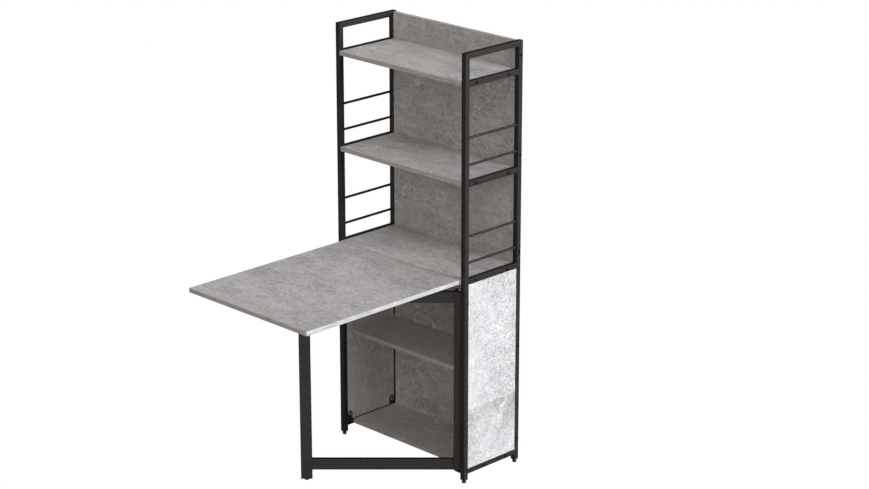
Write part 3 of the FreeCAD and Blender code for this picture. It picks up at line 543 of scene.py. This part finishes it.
# %% [markdown]
# ## Skins from rings
# All the new pieces are skins: rings of points, one after another, with a face between
# neighbouring points. The points are worked out as whole arrays, and the faces follow from
# the numbers of rings and points alone. One helper lists the faces, another makes the piece:
# it turns all faces outward, shades the skin smooth up to its sharp edges, and lets the piece
# ride its body.

# %% Write the skin helpers
SHARP_EDGE = math.radians(38)
BAND_UV = "band"


def skin(rows, columns, copies=1, closed=False):
    """Lists the faces of rings of points: four-cornered ones between rings, and a lid on each end.

    A closed skin joins its last ring to its first instead, as on a doughnut.
    """
    ring = np.arange(columns)
    start = columns*np.arange(rows if closed else rows - 1)[:, None]
    after = (start + columns) % (rows*columns)
    turned_ring = np.roll(ring, -1)
    quads = np.stack([start + ring, start + turned_ring, after + turned_ring, after + ring], axis=-1)
    shift = rows*columns*np.arange(copies)[:, None, None]
    faces = (quads.reshape(-1, 4) + shift).reshape(-1, 4).tolist()
    if not closed:
        lids = np.stack([ring, ring + columns*(rows - 1)])
        faces += (lids + shift).reshape(-1, columns).tolist()
    return faces


def make_piece(name, points, faces, body, finish, stands_for=(), uv=None):
    """Makes a piece from arrays of points and a list of faces, and lets it ride a body."""
    mesh = bpy.data.meshes.new(name)
    mesh.from_pydata(points.reshape(-1, 3).tolist(), [], faces)
    if uv is not None:
        corners = np.empty(len(mesh.loops), np.int32)
        mesh.loops.foreach_get("vertex_index", corners)
        layer = mesh.uv_layers.new(name=BAND_UV)
        layer.data.foreach_set("uv", uv.reshape(-1, 2)[corners].ravel())
    shape = bmesh.new()
    shape.from_mesh(mesh)
    bmesh.ops.recalc_face_normals(shape, faces=shape.faces)
    shape.to_mesh(mesh)
    shape.free()
    mesh.shade_smooth()
    mesh.set_sharp_from_angle(angle=SHARP_EDGE)
    mesh.materials.append(finish)
    piece = bpy.data.objects.new(name, mesh)
    bpy.context.scene.collection.objects.link(piece)
    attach(piece, body)
    if stands_for:
        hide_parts(*stands_for)
    print(f"{name}: {len(mesh.polygons)} faces on {body}")
    return piece


def corners_of(node):
    """Returns the lowest and the highest corner of a node as arrays."""
    low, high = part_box(node)
    return np.array(low), np.array(high)


def middle_of(node):
    """Returns the middle of a node's box."""
    low, high = corners_of(node)
    return (low + high)/2


print(f"edges sharper than {math.degrees(SHARP_EDGE):.0f} degrees stay sharp")

# %% [markdown]
# ## Edge bands
# A laminated board is sawn to size, and a thin strip of the same pattern is glued over each
# raw edge and trimmed with a small round. The strip is cut along the roll, so its pattern
# runs in streaks along the edge. Its finish therefore uses coordinates of its own: one along
# the strip and one across it.

# %% Mix the band
BAND_DARK = (0.205, 0.197, 0.190, 1)
BAND_LIGHT = (0.545, 0.535, 0.525, 1)
STREAK_STRETCH = (22.0, 650.0, 1.0)
BAND_BLOTCH_STRETCH = (14.0, 60.0, 1.0)
BAND_GRAIN_SCALE = 260.0
BAND_SHOWN = (0.3, 0.7)
STREAK_TONES = (-0.05, 0.45)
BAND_BLOTCH_TONES = (0.0, 0.40)
BAND_GRAIN_TONES = (-0.28, 0.30)
BAND_SHEEN = (0.5, 0.66)


def streaked_band(name):
    """Makes the band's finish from its own coordinates: long streaks, broken by blotches and grain."""
    made, tree, shader = new_material(name)
    where = add(tree, "UVMap", uv_map=BAND_UV).outputs["UV"]
    streaks = noise(tree, mapped(tree, where, scale=STREAK_STRETCH), 1.0, 6.0, 0.7)
    blotches = noise(tree, mapped(tree, where, scale=BAND_BLOTCH_STRETCH), 1.0, 5.0, 0.65)
    grain = noise(tree, where, BAND_GRAIN_SCALE, 3.0, 0.7)
    tone = total(tree, [remap(tree, streaks, *BAND_SHOWN, *STREAK_TONES),
                        remap(tree, blotches, *BAND_SHOWN, *BAND_BLOTCH_TONES),
                        remap(tree, grain, *BAND_SHOWN, *BAND_GRAIN_TONES)])
    feed(tree, shader.inputs["Base Color"], mix_colour(tree, tone, BAND_DARK, BAND_LIGHT))
    feed(tree, shader.inputs["Roughness"], remap(tree, streaks, *BAND_SHOWN, *BAND_SHEEN))
    shader.inputs["Specular IOR Level"].default_value = BOARD_SHINE
    emboss(tree, shader, streaks, strength=0.15, depth=0.3*MM)
    return made


board_band = streaked_band("board_band")
print(f"{board_band.name}: streaks {STREAK_STRETCH[1]/STREAK_STRETCH[0]:.0f} times as long as wide")

# %% [markdown]
# A strip is a profile carried along the edge: the profile leaves the board's face, rounds the
# corner, runs down the edge and rounds the other corner. The shelves show their front edges,
# and their strips follow the round that those edges have. The back board shows its upper and
# lower edge. These are square, so its strips have only a tiny round.

# %% Glue the bands on
BAND_PROUD = 0.25*MM
BAND_INSIDE = 1.0*MM
BACK_BAND_INSIDE = 0.1*MM
ROUND_STEPS = 7
UP = np.array((0.0, 0.0, 1.0))
BACKWARDS = np.array((0.0, 1.0, 0.0))


def band_profile(low, high, inside):
    """Returns the profile's distances outward and across, from one face of the board to the other.

    Each corner is a quarter circle that starts inside the edge and ends proud of it.
    """
    quarter = np.linspace(0, math.pi/2, ROUND_STEPS)
    radius = inside + BAND_PROUD
    outward = radius*np.sin(quarter) - inside
    drop = radius*(1 - np.cos(quarter))
    return np.concatenate([outward, outward[::-1]]), np.concatenate([high - drop, low + drop[::-1]])


def edge_band(name, body, path, outward, across, low, high, inside=BAND_INSIDE):
    """Carries the band's profile along a path: point = path + outward times out + across times height.

    The path's starting height is added along the strip, so that the back board's two differ.
    """
    out, height = band_profile(low, high, inside)
    points = path[:, None, :] + outward[:, None, :]*out[None, :, None] + across*height[None, :, None]
    steps = np.linalg.norm(np.diff(path, axis=0), axis=1)
    along = path[0, 2] + np.concatenate([[0.0], np.cumsum(steps)])
    around = np.concatenate([[0.0], np.cumsum(np.hypot(np.diff(out), np.diff(height)))])
    uv = np.stack(np.meshgrid(along, around, indexing="ij"), axis=-1)
    make_piece(name, points, skin(len(path), len(out)), body, board_band, uv=uv)


def straight_band(name, board, outward, across, level, inside=BAND_INSIDE):
    """Bands one long edge of a board, from its left end to its right end."""
    low, high = corners_of(board)
    ends = np.array([[low[0], *level], [high[0], *level]])
    span = low @ across, high @ across
    edge_band(name, "cabinet", ends, np.array([outward, outward], float), across, *span, inside=inside)


for shelf in ("top_shelf", "middle_shelf", "lower_shelf", "bottom_shelf"):
    straight_band(shelf + "_band", shelf, (0, -1, 0), UP, (corners_of(shelf)[0][1], 0.0))
back_low, back_high = corners_of("back_panel")
for edge, way, level in (("top", 1, back_high[2]), ("bottom", -1, back_low[2])):
    straight_band(f"back_panel_{edge}_band", "back_panel", (0, 0, way), BACKWARDS, (0.0, level),
                  BACK_BAND_INSIDE)

# %% [markdown]
# The leaf is banded along its two sides and its front in one go. Its path runs from the seam
# along the left side, round the two front corners and back along the right side.

# %% Band the leaf
LEAF_CORNER = 1.2*MM


def leaf_path(low, high, radius):
    """Returns the path round the leaf's three free edges and the outward direction at each point."""
    quarter = np.linspace(0, math.pi/2, ROUND_STEPS)
    angles = np.concatenate([[math.pi], math.pi + quarter, 1.5*math.pi + quarter, [2*math.pi]])
    outward = np.stack([np.cos(angles), np.sin(angles), np.zeros_like(angles)], axis=-1)
    half = 1 + ROUND_STEPS
    centres = np.zeros_like(outward)
    centres[:half, 0] = low[0] + radius
    centres[half:, 0] = high[0] - radius
    centres[:, 1] = low[1] + radius
    centres[[0, -1], 1] = high[1]
    return centres + radius*outward, outward


leaf_low, leaf_high = corners_of("drop_leaf")
leaf_edge, leaf_outward = leaf_path(leaf_low, leaf_high, LEAF_CORNER)
edge_band("drop_leaf_band", "leaf", leaf_edge, leaf_outward, UP, leaf_low[2], leaf_high[2])

# %% [markdown]
# ## Guard rods and their welds
# Each rod is a length of round bar, welded to the posts at both ends. The weld leaves a small
# collar that is widest at the post, fades into the rod, and is a little uneven all round.
# The rod is a turned surface: its radius is a function of the distance to the nearer post
# and of the angle.

# %% Weld the rods
SIDES = ("left", "right")
WELD_HEIGHT = 2.0*MM
WELD_REACH = 4.5*MM
WELD_ROWS = 10
WELD_CROWDING = 1.3
FINE_WAVES = 7
FINE_WAVE_HEIGHT = 0.16
WIDE_WAVES = 3
WIDE_WAVE_HEIGHT = 0.10
ROD_COLUMNS = 28
ROD_NODES = [f"{side}_{level}_rod_{number}"
             for side in SIDES for level in ("table", "middle") for number in (1, 2)]


def welded_rod(low, high, phase):
    """Returns a rod along y: radius = bar + collar*(1 - distance/reach)**2*(1 + waves)."""
    near = WELD_REACH*np.linspace(0, 1, WELD_ROWS)**WELD_CROWDING
    distance = np.concatenate([near, near[::-1]])[:, None]
    y = np.concatenate([low[1] + near, high[1] - near[::-1]])[:, None]
    angle = np.linspace(0, 2*math.pi, ROD_COLUMNS, endpoint=False)[None, :]
    waves = (FINE_WAVE_HEIGHT*np.cos(FINE_WAVES*angle + phase)
             + WIDE_WAVE_HEIGHT*np.cos(WIDE_WAVES*angle - phase))
    collar = WELD_HEIGHT*(1 - distance/WELD_REACH)**2*(1 + waves)
    radius = (high[2] - low[2])/2 + collar
    middle = (low + high)/2
    x = middle[0] + radius*np.cos(angle)
    z = middle[2] + radius*np.sin(angle)
    return np.stack(np.broadcast_arrays(x, y, z), axis=-1)


for number, node in enumerate(ROD_NODES):
    rod = welded_rod(*corners_of(node), number)
    rod_faces = skin(*rod.shape[:2])
    make_piece(node + "_welded", rod, rod_faces, "cabinet", frame_paint, (node,))

# %% [markdown]
# ## Weld beads
# Where a rail meets a post, a bead of weld fills the inner corner. The torch moves in small
# steps, so the bead is a row of ripples, and it tapers at both ends. Flush faces are ground
# flat, so a bead lies only in the corners. A bead is a triangular profile carried across the tube.

# %% Shape a bead
BEAD_LEG = 2.3*MM
BEAD_RIPPLE = 1.7*MM
BEAD_RIPPLE_HEIGHT = 0.14
BEAD_DOME = 0.18
BEAD_BLUNT_END = 0.02
BEAD_STEPS = 37
BEAD_FACE = np.linspace(0, 1, 6)


def bead_profile():
    """Returns a bead's section in units of its leg: the corner itself, then its slightly domed face."""
    dome = BEAD_DOME*4*BEAD_FACE*(1 - BEAD_FACE)
    first = np.concatenate([[0.0], 1 - BEAD_FACE + dome])
    second = np.concatenate([[0.0], BEAD_FACE + dome])
    return first, second


def beads(spots, ways, long, width):
    """Carries the section across the tube for many corners at once.

    spots are the corners' middles, ways holds two unit vectors for each: away from the post and
    away from the rail. long is the direction of the bead, width its length. The leg is rippled
    along the bead, times the root of one minus the distance from its middle squared.
    """
    travel = np.linspace(-0.5, 0.5, BEAD_STEPS)
    ripple = 1 + BEAD_RIPPLE_HEIGHT*np.abs(np.sin(math.pi*travel*width/BEAD_RIPPLE))
    leg = BEAD_LEG*ripple*np.sqrt(1 + BEAD_BLUNT_END - (2*travel)**2)
    first, second = bead_profile()
    section = (ways[:, 0, None, None, :]*(leg[:, None]*first)[None, :, :, None]
               + ways[:, 1, None, None, :]*(leg[:, None]*second)[None, :, :, None])
    return spots[:, None, None, :] + section + (travel*width)[None, :, None, None]*long


def lay_beads(name, body, spots, ways, long, width):
    """Makes one piece of all the beads at the given corners."""
    laid = beads(spots, ways, long, width)
    faces = skin(*laid.shape[1:3], copies=len(spots))
    make_piece(name, laid, faces, body, frame_paint)


print(f"a bead has {BEAD_STEPS} rings of {len(BEAD_FACE) + 1} points")

# %% [markdown]
# In a side frame the beads lie in the open corners above and below the rails. The cupboard's
# panel fills the corners of the lowest bay, so there are none in it.

# %% Weld the side frames
RAILS_WELDED_ABOVE = ("table_rail", "middle_rail", "top_shelf_rail")
RAILS_WELDED_BELOW = ("bottom_rail", "middle_rail", "top_shelf_rail", "top_rail")
BEAD_SETBACK = 2*MM
SIDEWAYS = np.array((1.0, 0, 0))


def rail_corners(side):
    """Returns the corners between a side frame's rails and posts, with the directions away from each."""
    start, end = (corner[1] for corner in corners_of(f"{side}_table_rail"))
    middle = middle_of(f"{side}_table_rail")[0]
    levels = [(corners_of(f"{side}_{rail}")[1][2], 1) for rail in RAILS_WELDED_ABOVE]
    levels += [(corners_of(f"{side}_{rail}")[0][2], -1) for rail in RAILS_WELDED_BELOW]
    spots = [(middle, y, z) for z, _ in levels for y in (start, end)]
    ways = [((0, away, 0), (0, 0, up)) for _, up in levels for away in (1, -1)]
    return np.array(spots), np.array(ways, float)


post_low, post_high = corners_of("left_front_post")
TUBE = post_high[0] - post_low[0]
BEAD_WIDTH = TUBE - 2*BEAD_SETBACK
for side in SIDES:
    lay_beads(f"{side}_frame_welds", "cabinet", *rail_corners(side), SIDEWAYS, BEAD_WIDTH)

# %% [markdown]
# The gate is welded in the same way. It stands at 45 degrees, so its beads are placed along
# the gate's own direction, from the pivot towards the leg.

# %% Weld the gate
GATE_ALONG = np.array((-1.0, -1.0, 0))/math.sqrt(2)
GATE_ACROSS = np.array((1.0, -1.0, 0))/math.sqrt(2)
GATE_FACE = 40*MM
ON_FLOOR = (1, 1, 0)


def gate_corners():
    """Returns the corners between the gate's rails and its two uprights, as rail_corners does."""
    pivot, leg = (middle_of(node)*ON_FLOOR for node in ("gate_stile", "gate_leg"))
    (low_bottom, low_top), (high_bottom, high_top) = (
        (corner[2] for corner in corners_of(rail)) for rail in ("gate_bottom_rail", "gate_top_rail"))
    at_stile = pivot + GATE_ALONG*GATE_FACE/2
    at_leg = leg - GATE_ALONG*GATE_FACE/2
    inner = [(low_top, 1), (high_bottom, -1)]
    outer = [(low_bottom, -1), (high_top, 1)]
    spots = [at_stile + UP*z for z, _ in inner] + [at_leg + UP*z for z, _ in inner + outer]
    ways = [(GATE_ALONG, UP*up) for _, up in inner]
    ways += [(-GATE_ALONG, UP*up) for _, up in inner + outer]
    return np.array(spots), np.array(ways)


lay_beads("gate_welds", "gate", *gate_corners(), GATE_ACROSS, BEAD_WIDTH)

# %% [markdown]
# ## Bolts and screws
# Bolts and screws are turned on a lathe, and their drives are pressed in. So each one is a
# profile turned about its axis, and a ring may follow a hexagon or a cross instead of a circle:
# an outline gives the share of the radius at each angle. One pattern is made for each fastener,
# and its copies are set at all places at once.

# %% Write the lathe
ANGLES = np.linspace(0, 2*math.pi, 64, endpoint=False)
SIXTH = math.pi/3
CROSS_ARM = 0.30
RIBS = 16
RIB_DEPTH = 0.06
TINY = 1e-9


def cross_outline(arm):
    """Returns a cross of two bars: at each angle the farther of the two bars' ends or sides."""
    across = np.abs(np.cos(ANGLES)) + TINY
    along = np.abs(np.sin(ANGLES)) + TINY
    return np.maximum(np.minimum(1/across, arm/along), np.minimum(1/along, arm/across))


OUTLINES = {
    "round": np.ones_like(ANGLES),
    "hexagon": math.cos(SIXTH/2)/np.cos(ANGLES % SIXTH - SIXTH/2),
    "cross": cross_outline(CROSS_ARM),
    "ribbed": 1 - RIB_DEPTH*(0.5 + 0.5*np.cos(RIBS*ANGLES))**2,
}


def turned(profile):
    """Turns a profile about z: each row names an outline and gives a radius and a height in mm."""
    radius = np.array([OUTLINES[outline]*across for outline, across, _ in profile])*MM
    height = np.array([level for _, _, level in profile])[:, None]*MM
    return np.stack(np.broadcast_arrays(radius*np.cos(ANGLES), radius*np.sin(ANGLES), height), axis=-1)


def set_copies(pattern, places, signs, axis):
    """Sets a copy at each place, with the pattern's z along the given axis, forwards or backwards."""
    along = np.array(signs, float)[:, None, None]*pattern[None, :, :, 2]
    first, second = pattern[None, :, :, 0], pattern[None, :, :, 1]
    parts = (along, first, second) if axis == "x" else (first, second, along)
    return np.stack(np.broadcast_arrays(*parts), axis=-1) + np.array(places)[:, None, None, :]


def fastener_set(node, body, profile, places, signs, axis, finish):
    """Turns one fastener, sets its copies, and lets them stand for the node's plain ones."""
    copies = set_copies(turned(profile), places, signs, axis)
    faces = skin(*copies.shape[1:3], copies=len(copies))
    make_piece(node + "_turned", copies, faces, body, finish, (node,))


def side_signs(places):
    """Returns minus one for each place on the left and one for each on the right."""
    return np.sign([x for x, _, _ in places])


print("outlines:", ", ".join(OUTLINES))

# %% [markdown]
# The bolts go through the side frames into the ends of the shelves, and through the rear posts
# into the back board. Their heads are low domes with a hexagon drive.

# %% Turn the bolts
BOLT_PROFILE = [
    ("hexagon", 0.3, 0.8), ("hexagon", 2.2, 0.8), ("hexagon", 2.3, 2.25), ("round", 2.75, 2.4),
    ("round", 3.6, 2.3), ("round", 4.4, 1.95), ("round", 5.0, 1.45), ("round", 5.35, 0.85),
    ("round", 5.5, 0.3), ("round", 5.5, 0.0), ("round", 3.0, 0.0), ("round", 3.0, -48.0),
    ("round", 2.4, -49.5), ("round", 0.3, -49.5)]
BOLT_INSET = 53*MM
BACK_BOLT_LOW = 96*MM
BACK_BOLT_DROP = 52*MM
BACK_BOLTS = 5

frame_half = corners_of("right_front_post")[1][0]
frame_front = post_low[1]
frame_top = post_high[2]
shelf_bolt_places = []
for shelf in ("bottom_shelf", "fixed_top", "middle_shelf", "top_shelf"):
    low, high = corners_of(shelf)
    for y in (max(low[1], frame_front) + BOLT_INSET, high[1] - BOLT_INSET):
        shelf_bolt_places += [(sign*frame_half, y, (low[2] + high[2])/2) for sign in (-1, 1)]
back_bolt_levels = np.linspace(BACK_BOLT_LOW, frame_top - BACK_BOLT_DROP, BACK_BOLTS)
back_bolt_places = [(sign*frame_half, (back_low[1] + back_high[1])/2, z)
                    for sign in (-1, 1) for z in back_bolt_levels]
for node, places in (("shelf_bolts", shelf_bolt_places), ("back_panel_bolts", back_bolt_places)):
    fastener_set(node, "cabinet", BOLT_PROFILE, places, side_signs(places), "x",
                 bolt_finish)

# %% [markdown]
# The tabs that hold the cupboard's side panels are pressed from sheet. Seen from the front
# a tab is an arch, with a raised ring round its screw. All its points lie on rays from the
# screw's axis, so it is a closed skin of rings: the hole, the ring, the arch's outline,
# and the same way back along the flat rear.

# %% Shape a tab
TAB_HALF = 12.0
TAB_EYE = 22.0
TAB_ROWS = [
    ("hole", 2.1, 0.0), ("hole", 2.1, 2.0), ("hole", 8.2, 2.0), ("hole", 8.6, 2.35),
    ("hole", 9.2, 2.45), ("hole", 9.9, 2.3), ("hole", 10.4, 2.0), ("edge", 0.5, 2.0),
    ("edge", 0.15, 1.85), ("edge", 0.0, 1.5), ("edge", 0.0, 0.0)]


def tab_rays():
    """Returns the angles of the rays, with one through each of the arch's lower corners."""
    corner = math.atan2(TAB_EYE, TAB_HALF)
    return np.unique(np.concatenate([ANGLES, [math.pi + corner, 2*math.pi - corner]]))


def pressed_tab():
    """Returns a tab on its side: ring by ring, the distance from the eye and the height off the panel.

    A row that starts at the hole gives the distance itself, one at the edge the distance inside it.
    """
    rays = tab_rays()
    side = TAB_HALF/(np.abs(np.cos(rays)) + TINY)
    base = np.where(np.sin(rays) < 0, TAB_EYE/(np.abs(np.sin(rays)) + TINY), np.inf)
    edge = np.where(np.sin(rays) > 0, TAB_HALF, np.minimum(side, base))
    reach = np.array([edge - value if kind == "edge" else np.full_like(rays, value)
                      for kind, value, _ in TAB_ROWS])
    height = np.array([level for _, _, level in TAB_ROWS])[:, None]
    parts = np.broadcast_arrays(height, reach*np.cos(rays), reach*np.sin(rays))
    return np.stack(parts, axis=-1)*MM


tab = pressed_tab()
print(f"a tab has {tab.shape[0]} rings of {tab.shape[1]} points")

# %% [markdown]
# Each panel has four tabs on its inner face, the upper two upside down. A cross-headed screw
# goes through the eye of each.

# %% Fix the tabs
TAB_SHEET = 2*MM
SCREW_PROFILE = [
    ("cross", 0.3, 0.6), ("cross", 2.3, 0.9), ("cross", 2.6, 1.75), ("round", 3.0, 1.9),
    ("round", 3.7, 1.6), ("round", 4.2, 1.1), ("round", 4.5, 0.5), ("round", 4.5, 0.0),
    ("round", 2.0, 0.0), ("round", 2.0, -9.5), ("round", 0.3, -11.0)]
screw_places = []
for side, sign in zip(SIDES, (-1, 1)):
    low, high = corners_of(side + "_panel")
    inner = low[0] if sign > 0 else high[0]
    eyes = [(inner, y, z, way) for y in (low[1] + TAB_HALF*MM, high[1] - TAB_HALF*MM)
            for z, way in ((low[2] + TAB_EYE*MM, 1), (high[2] - TAB_EYE*MM, -1))]
    ways = np.array([(-sign, 1, way) for *_, way in eyes])[:, None, None, :]
    tabs = np.array([eye[:3] for eye in eyes])[:, None, None, :] + tab[None]*ways
    tab_faces = skin(*tab.shape[:2], copies=len(eyes), closed=True)
    make_piece(side + "_panel_tabs_pressed", tabs, tab_faces, "cabinet",
               fitting_paint, (side + "_panel_tabs",))
    screw_places += [(x - sign*TAB_SHEET, y, z) for x, y, z, _ in eyes]
inward = -side_signs(screw_places)
fastener_set("panel_tab_screws", "cabinet", SCREW_PROFILE, screw_places, inward, "x",
             bolt_finish)

# %% [markdown]
# A plated washer lies between each tab and its screw. It is a ring with rounded edges:
# a small oval carried round a circle.

# %% Lay the washers
WASHER_MIDDLE = 6.2*MM
WASHER_HALF = 1.6*MM
WASHER_RISE = 0.35*MM
oval = np.linspace(0, 2*math.pi, 16, endpoint=False)[:, None]
washer_reach = WASHER_MIDDLE + WASHER_HALF*np.cos(oval)
washer_height = WASHER_RISE*(1 + np.sin(oval))
washer = np.stack(np.broadcast_arrays(washer_reach*np.cos(ANGLES), washer_reach*np.sin(ANGLES),
                                      washer_height), axis=-1)
washers = set_copies(washer, screw_places, inward, "x")
washer_faces = skin(*washer.shape[:2], copies=len(washers), closed=True)
make_piece("panel_tab_washers", washers, washer_faces, "cabinet", bright_steel)

# %% [markdown]
# The hinge screws under the seam are the same kind of screw, a little smaller, driven upwards.
# One half of each hinge belongs to the fixed top, the other moves with the leaf.

# %% Drive the hinge screws
HINGE_SCREW_PROFILE = [
    ("cross", 0.3, 0.3), ("cross", 1.7, 0.5), ("cross", 1.95, 1.2), ("round", 2.3, 1.35),
    ("round", 2.9, 1.15), ("round", 3.3, 0.75), ("round", 3.5, 0.3), ("round", 3.5, 0.0),
    ("round", 1.75, 0.0), ("round", 1.75, -10.0), ("round", 0.3, -11.5)]
HINGE_PITCH = 170*MM
HINGE_SPREAD = 18*MM
HINGE_HEAD = 1.4*MM
for node, body in (("fixed_hinge_screws", "cabinet"), ("leaf_hinge_screws", "leaf")):
    low, high = corners_of(node)
    places = [(hinge*HINGE_PITCH + way*HINGE_SPREAD, (low[1] + high[1])/2, low[2] + HINGE_HEAD)
              for hinge in (-1, 0, 1) for way in (-1, 1)]
    fastener_set(node, body, HINGE_SCREW_PROFILE, places, [-1]*len(places), "z",
                 bright_steel)

# %% [markdown]
# ## Feet
# The feet are moulded plugs with a rounded sole and a ribbed grip, so that they can be pressed
# into the posts and pulled out again. They are turned like the fasteners.

# %% Mould the feet
FOOT_PROFILE = [
    ("round", 0.3, 0.0), ("round", 6.0, 0.0), ("round", 6.75, 0.25), ("round", 7.25, 0.75),
    ("round", 7.5, 1.5), ("round", 7.5, 3.4), ("ribbed", 7.5, 4.0), ("ribbed", 7.5, 10.0),
    ("round", 7.5, 10.6), ("round", 7.5, 12.7), ("round", 7.2, 13.0), ("round", 4.0, 13.0),
    ("round", 4.0, 32.4), ("round", 3.4, 33.0), ("round", 0.3, 33.0)]
foot = turned(FOOT_PROFILE)
foot_faces = skin(*foot.shape[:2])
for node in [f"{side}_{end}_foot" for side in SIDES for end in ("front", "rear")]:
    make_piece(node + "_moulded", foot + middle_of(node)*ON_FLOOR, foot_faces, "cabinet",
               black_plastic, (node,))

# %% [markdown]
# ## Studio
# The photograph is a plain white studio picture. A strong soft light stands to the right,
# with a higher one beside it, one above and a warm weak one in front. White walls throw light
# back from all sides, and a light behind the table shows its rear in other views.
# Two white cards glint in the paint of the tubes, so that they don't drown in black.

# %% Light the studio
def sun(name, strength, spread, heading, height, colour, mirrored=True, shadows=True, spreads=True):
    """Hangs a soft distant light. The heading counts from the front, +x being at 90 degrees.

    One that isn't mirrored doesn't show in gloss, one that doesn't spread shows only there, as a
    card does, and one without shadows stands for the walls.
    """
    data = bpy.data.lights.new(name, "SUN")
    data.energy = strength
    data.angle = math.radians(spread)
    data.color = colour
    data.use_shadow = shadows
    made = bpy.data.objects.new(name, data)
    turn = math.radians(heading)
    rise = math.radians(height)
    level = math.cos(rise)
    towards = Vector((math.sin(turn)*level, -math.cos(turn)*level, math.sin(rise)))
    made.rotation_mode = "QUATERNION"
    made.rotation_quaternion = towards.to_track_quat("Z", "Y")
    made.visible_glossy = mirrored
    made.visible_diffuse = spreads
    bpy.context.scene.collection.objects.link(made)
    print(f"{name}: strength {strength}, heading {heading}, height {height} degrees")


sun("key_light", strength=4.7, spread=26, heading=98, height=10, colour=(0.86, 0.91, 1.0),
    mirrored=False)
sun("side_light", strength=1.3, spread=40, heading=95, height=35, colour=(1.0, 0.965, 0.93))
sun("top_light", strength=0.52, spread=40, heading=45, height=85, colour=(0.97, 0.985, 1.0))
sun("fill_light", strength=1.15, spread=66, heading=32, height=22, colour=(1.0, 0.88, 0.815))
sun("wall_light", strength=0.55, spread=60, heading=35, height=50, colour=(1.0, 0.93, 0.88),
    mirrored=False, shadows=False)
sun("front_card", strength=2.0, spread=30, heading=45, height=10, colour=(1.0, 0.95, 0.9),
    spreads=False)
sun("side_card", strength=2.4, spread=30, heading=135, height=12, colour=(1.0, 1.0, 1.0),
    spreads=False)
sun("rear_light", strength=1.5, spread=60, heading=235, height=10, colour=(1.0, 0.98, 0.96),
    mirrored=False)

# %% [markdown]
# All round the table is white. The camera sees it at full strength, while only a faint warm
# glow of it falls on the table, because the lights do the work.

# %% Paint the surroundings
WHITE = (1, 1, 1, 1)
GLOW_COLOUR = (1.0, 0.975, 0.955, 1)
GLOW_STRENGTH = 0.06


def camera_choice(tree, lighting, seen):
    """Shows one shader to the camera and lights the table with the other."""
    to_camera = add(tree, "LightPath").outputs["Is Camera Ray"]
    choose = add(tree, "MixShader", {0: to_camera, 1: lighting.outputs[0], 2: seen.outputs[0]})
    return choose.outputs[0]


world = bpy.data.worlds.new("studio")
bpy.context.scene.world = world
world.use_nodes = True
tree = world.node_tree
tree.nodes.clear()
glow = add(tree, "Background", {"Color": GLOW_COLOUR, "Strength": GLOW_STRENGTH})
surround = add(tree, "Background", {"Color": WHITE, "Strength": 1.0})
add(tree, "OutputWorld", {"Surface": camera_choice(tree, glow, surround)})
print(f"white all round, glowing at {GLOW_STRENGTH}")

# %% [markdown]
# The floor is a wide white plane that shows no shadow. To the camera it is plain
# white, and the light that it throws back on the table is that of a pale grey floor.

# %% Lay the floor
FLOOR_SIZE = 60.0
FLOOR_GREY = (0.4, 0.4, 0.4, 1)
half = FLOOR_SIZE/2
floor_corners = [(-half, -half, 0), (half, -half, 0), (half, half, 0), (-half, half, 0)]
floor_mesh = bpy.data.meshes.new("floor")
floor_mesh.from_pydata(floor_corners, [], [(0, 1, 2, 3)])
floor = bpy.data.objects.new("floor", floor_mesh)
bpy.context.scene.collection.objects.link(floor)
white = bpy.data.materials.new("floor_white")
white.use_nodes = True
tree = white.node_tree
tree.nodes.clear()
seen = add(tree, "Emission", {"Color": WHITE, "Strength": 1.0})
bounced = add(tree, "BsdfDiffuse", {"Color": FLOOR_GREY})
add(tree, "OutputMaterial", {"Surface": camera_choice(tree, bounced, seen)})
floor_mesh.materials.append(white)
bpy.context.scene.view_settings.view_transform = "Standard"
print(f"floor {FLOOR_SIZE:.0f} m wide")
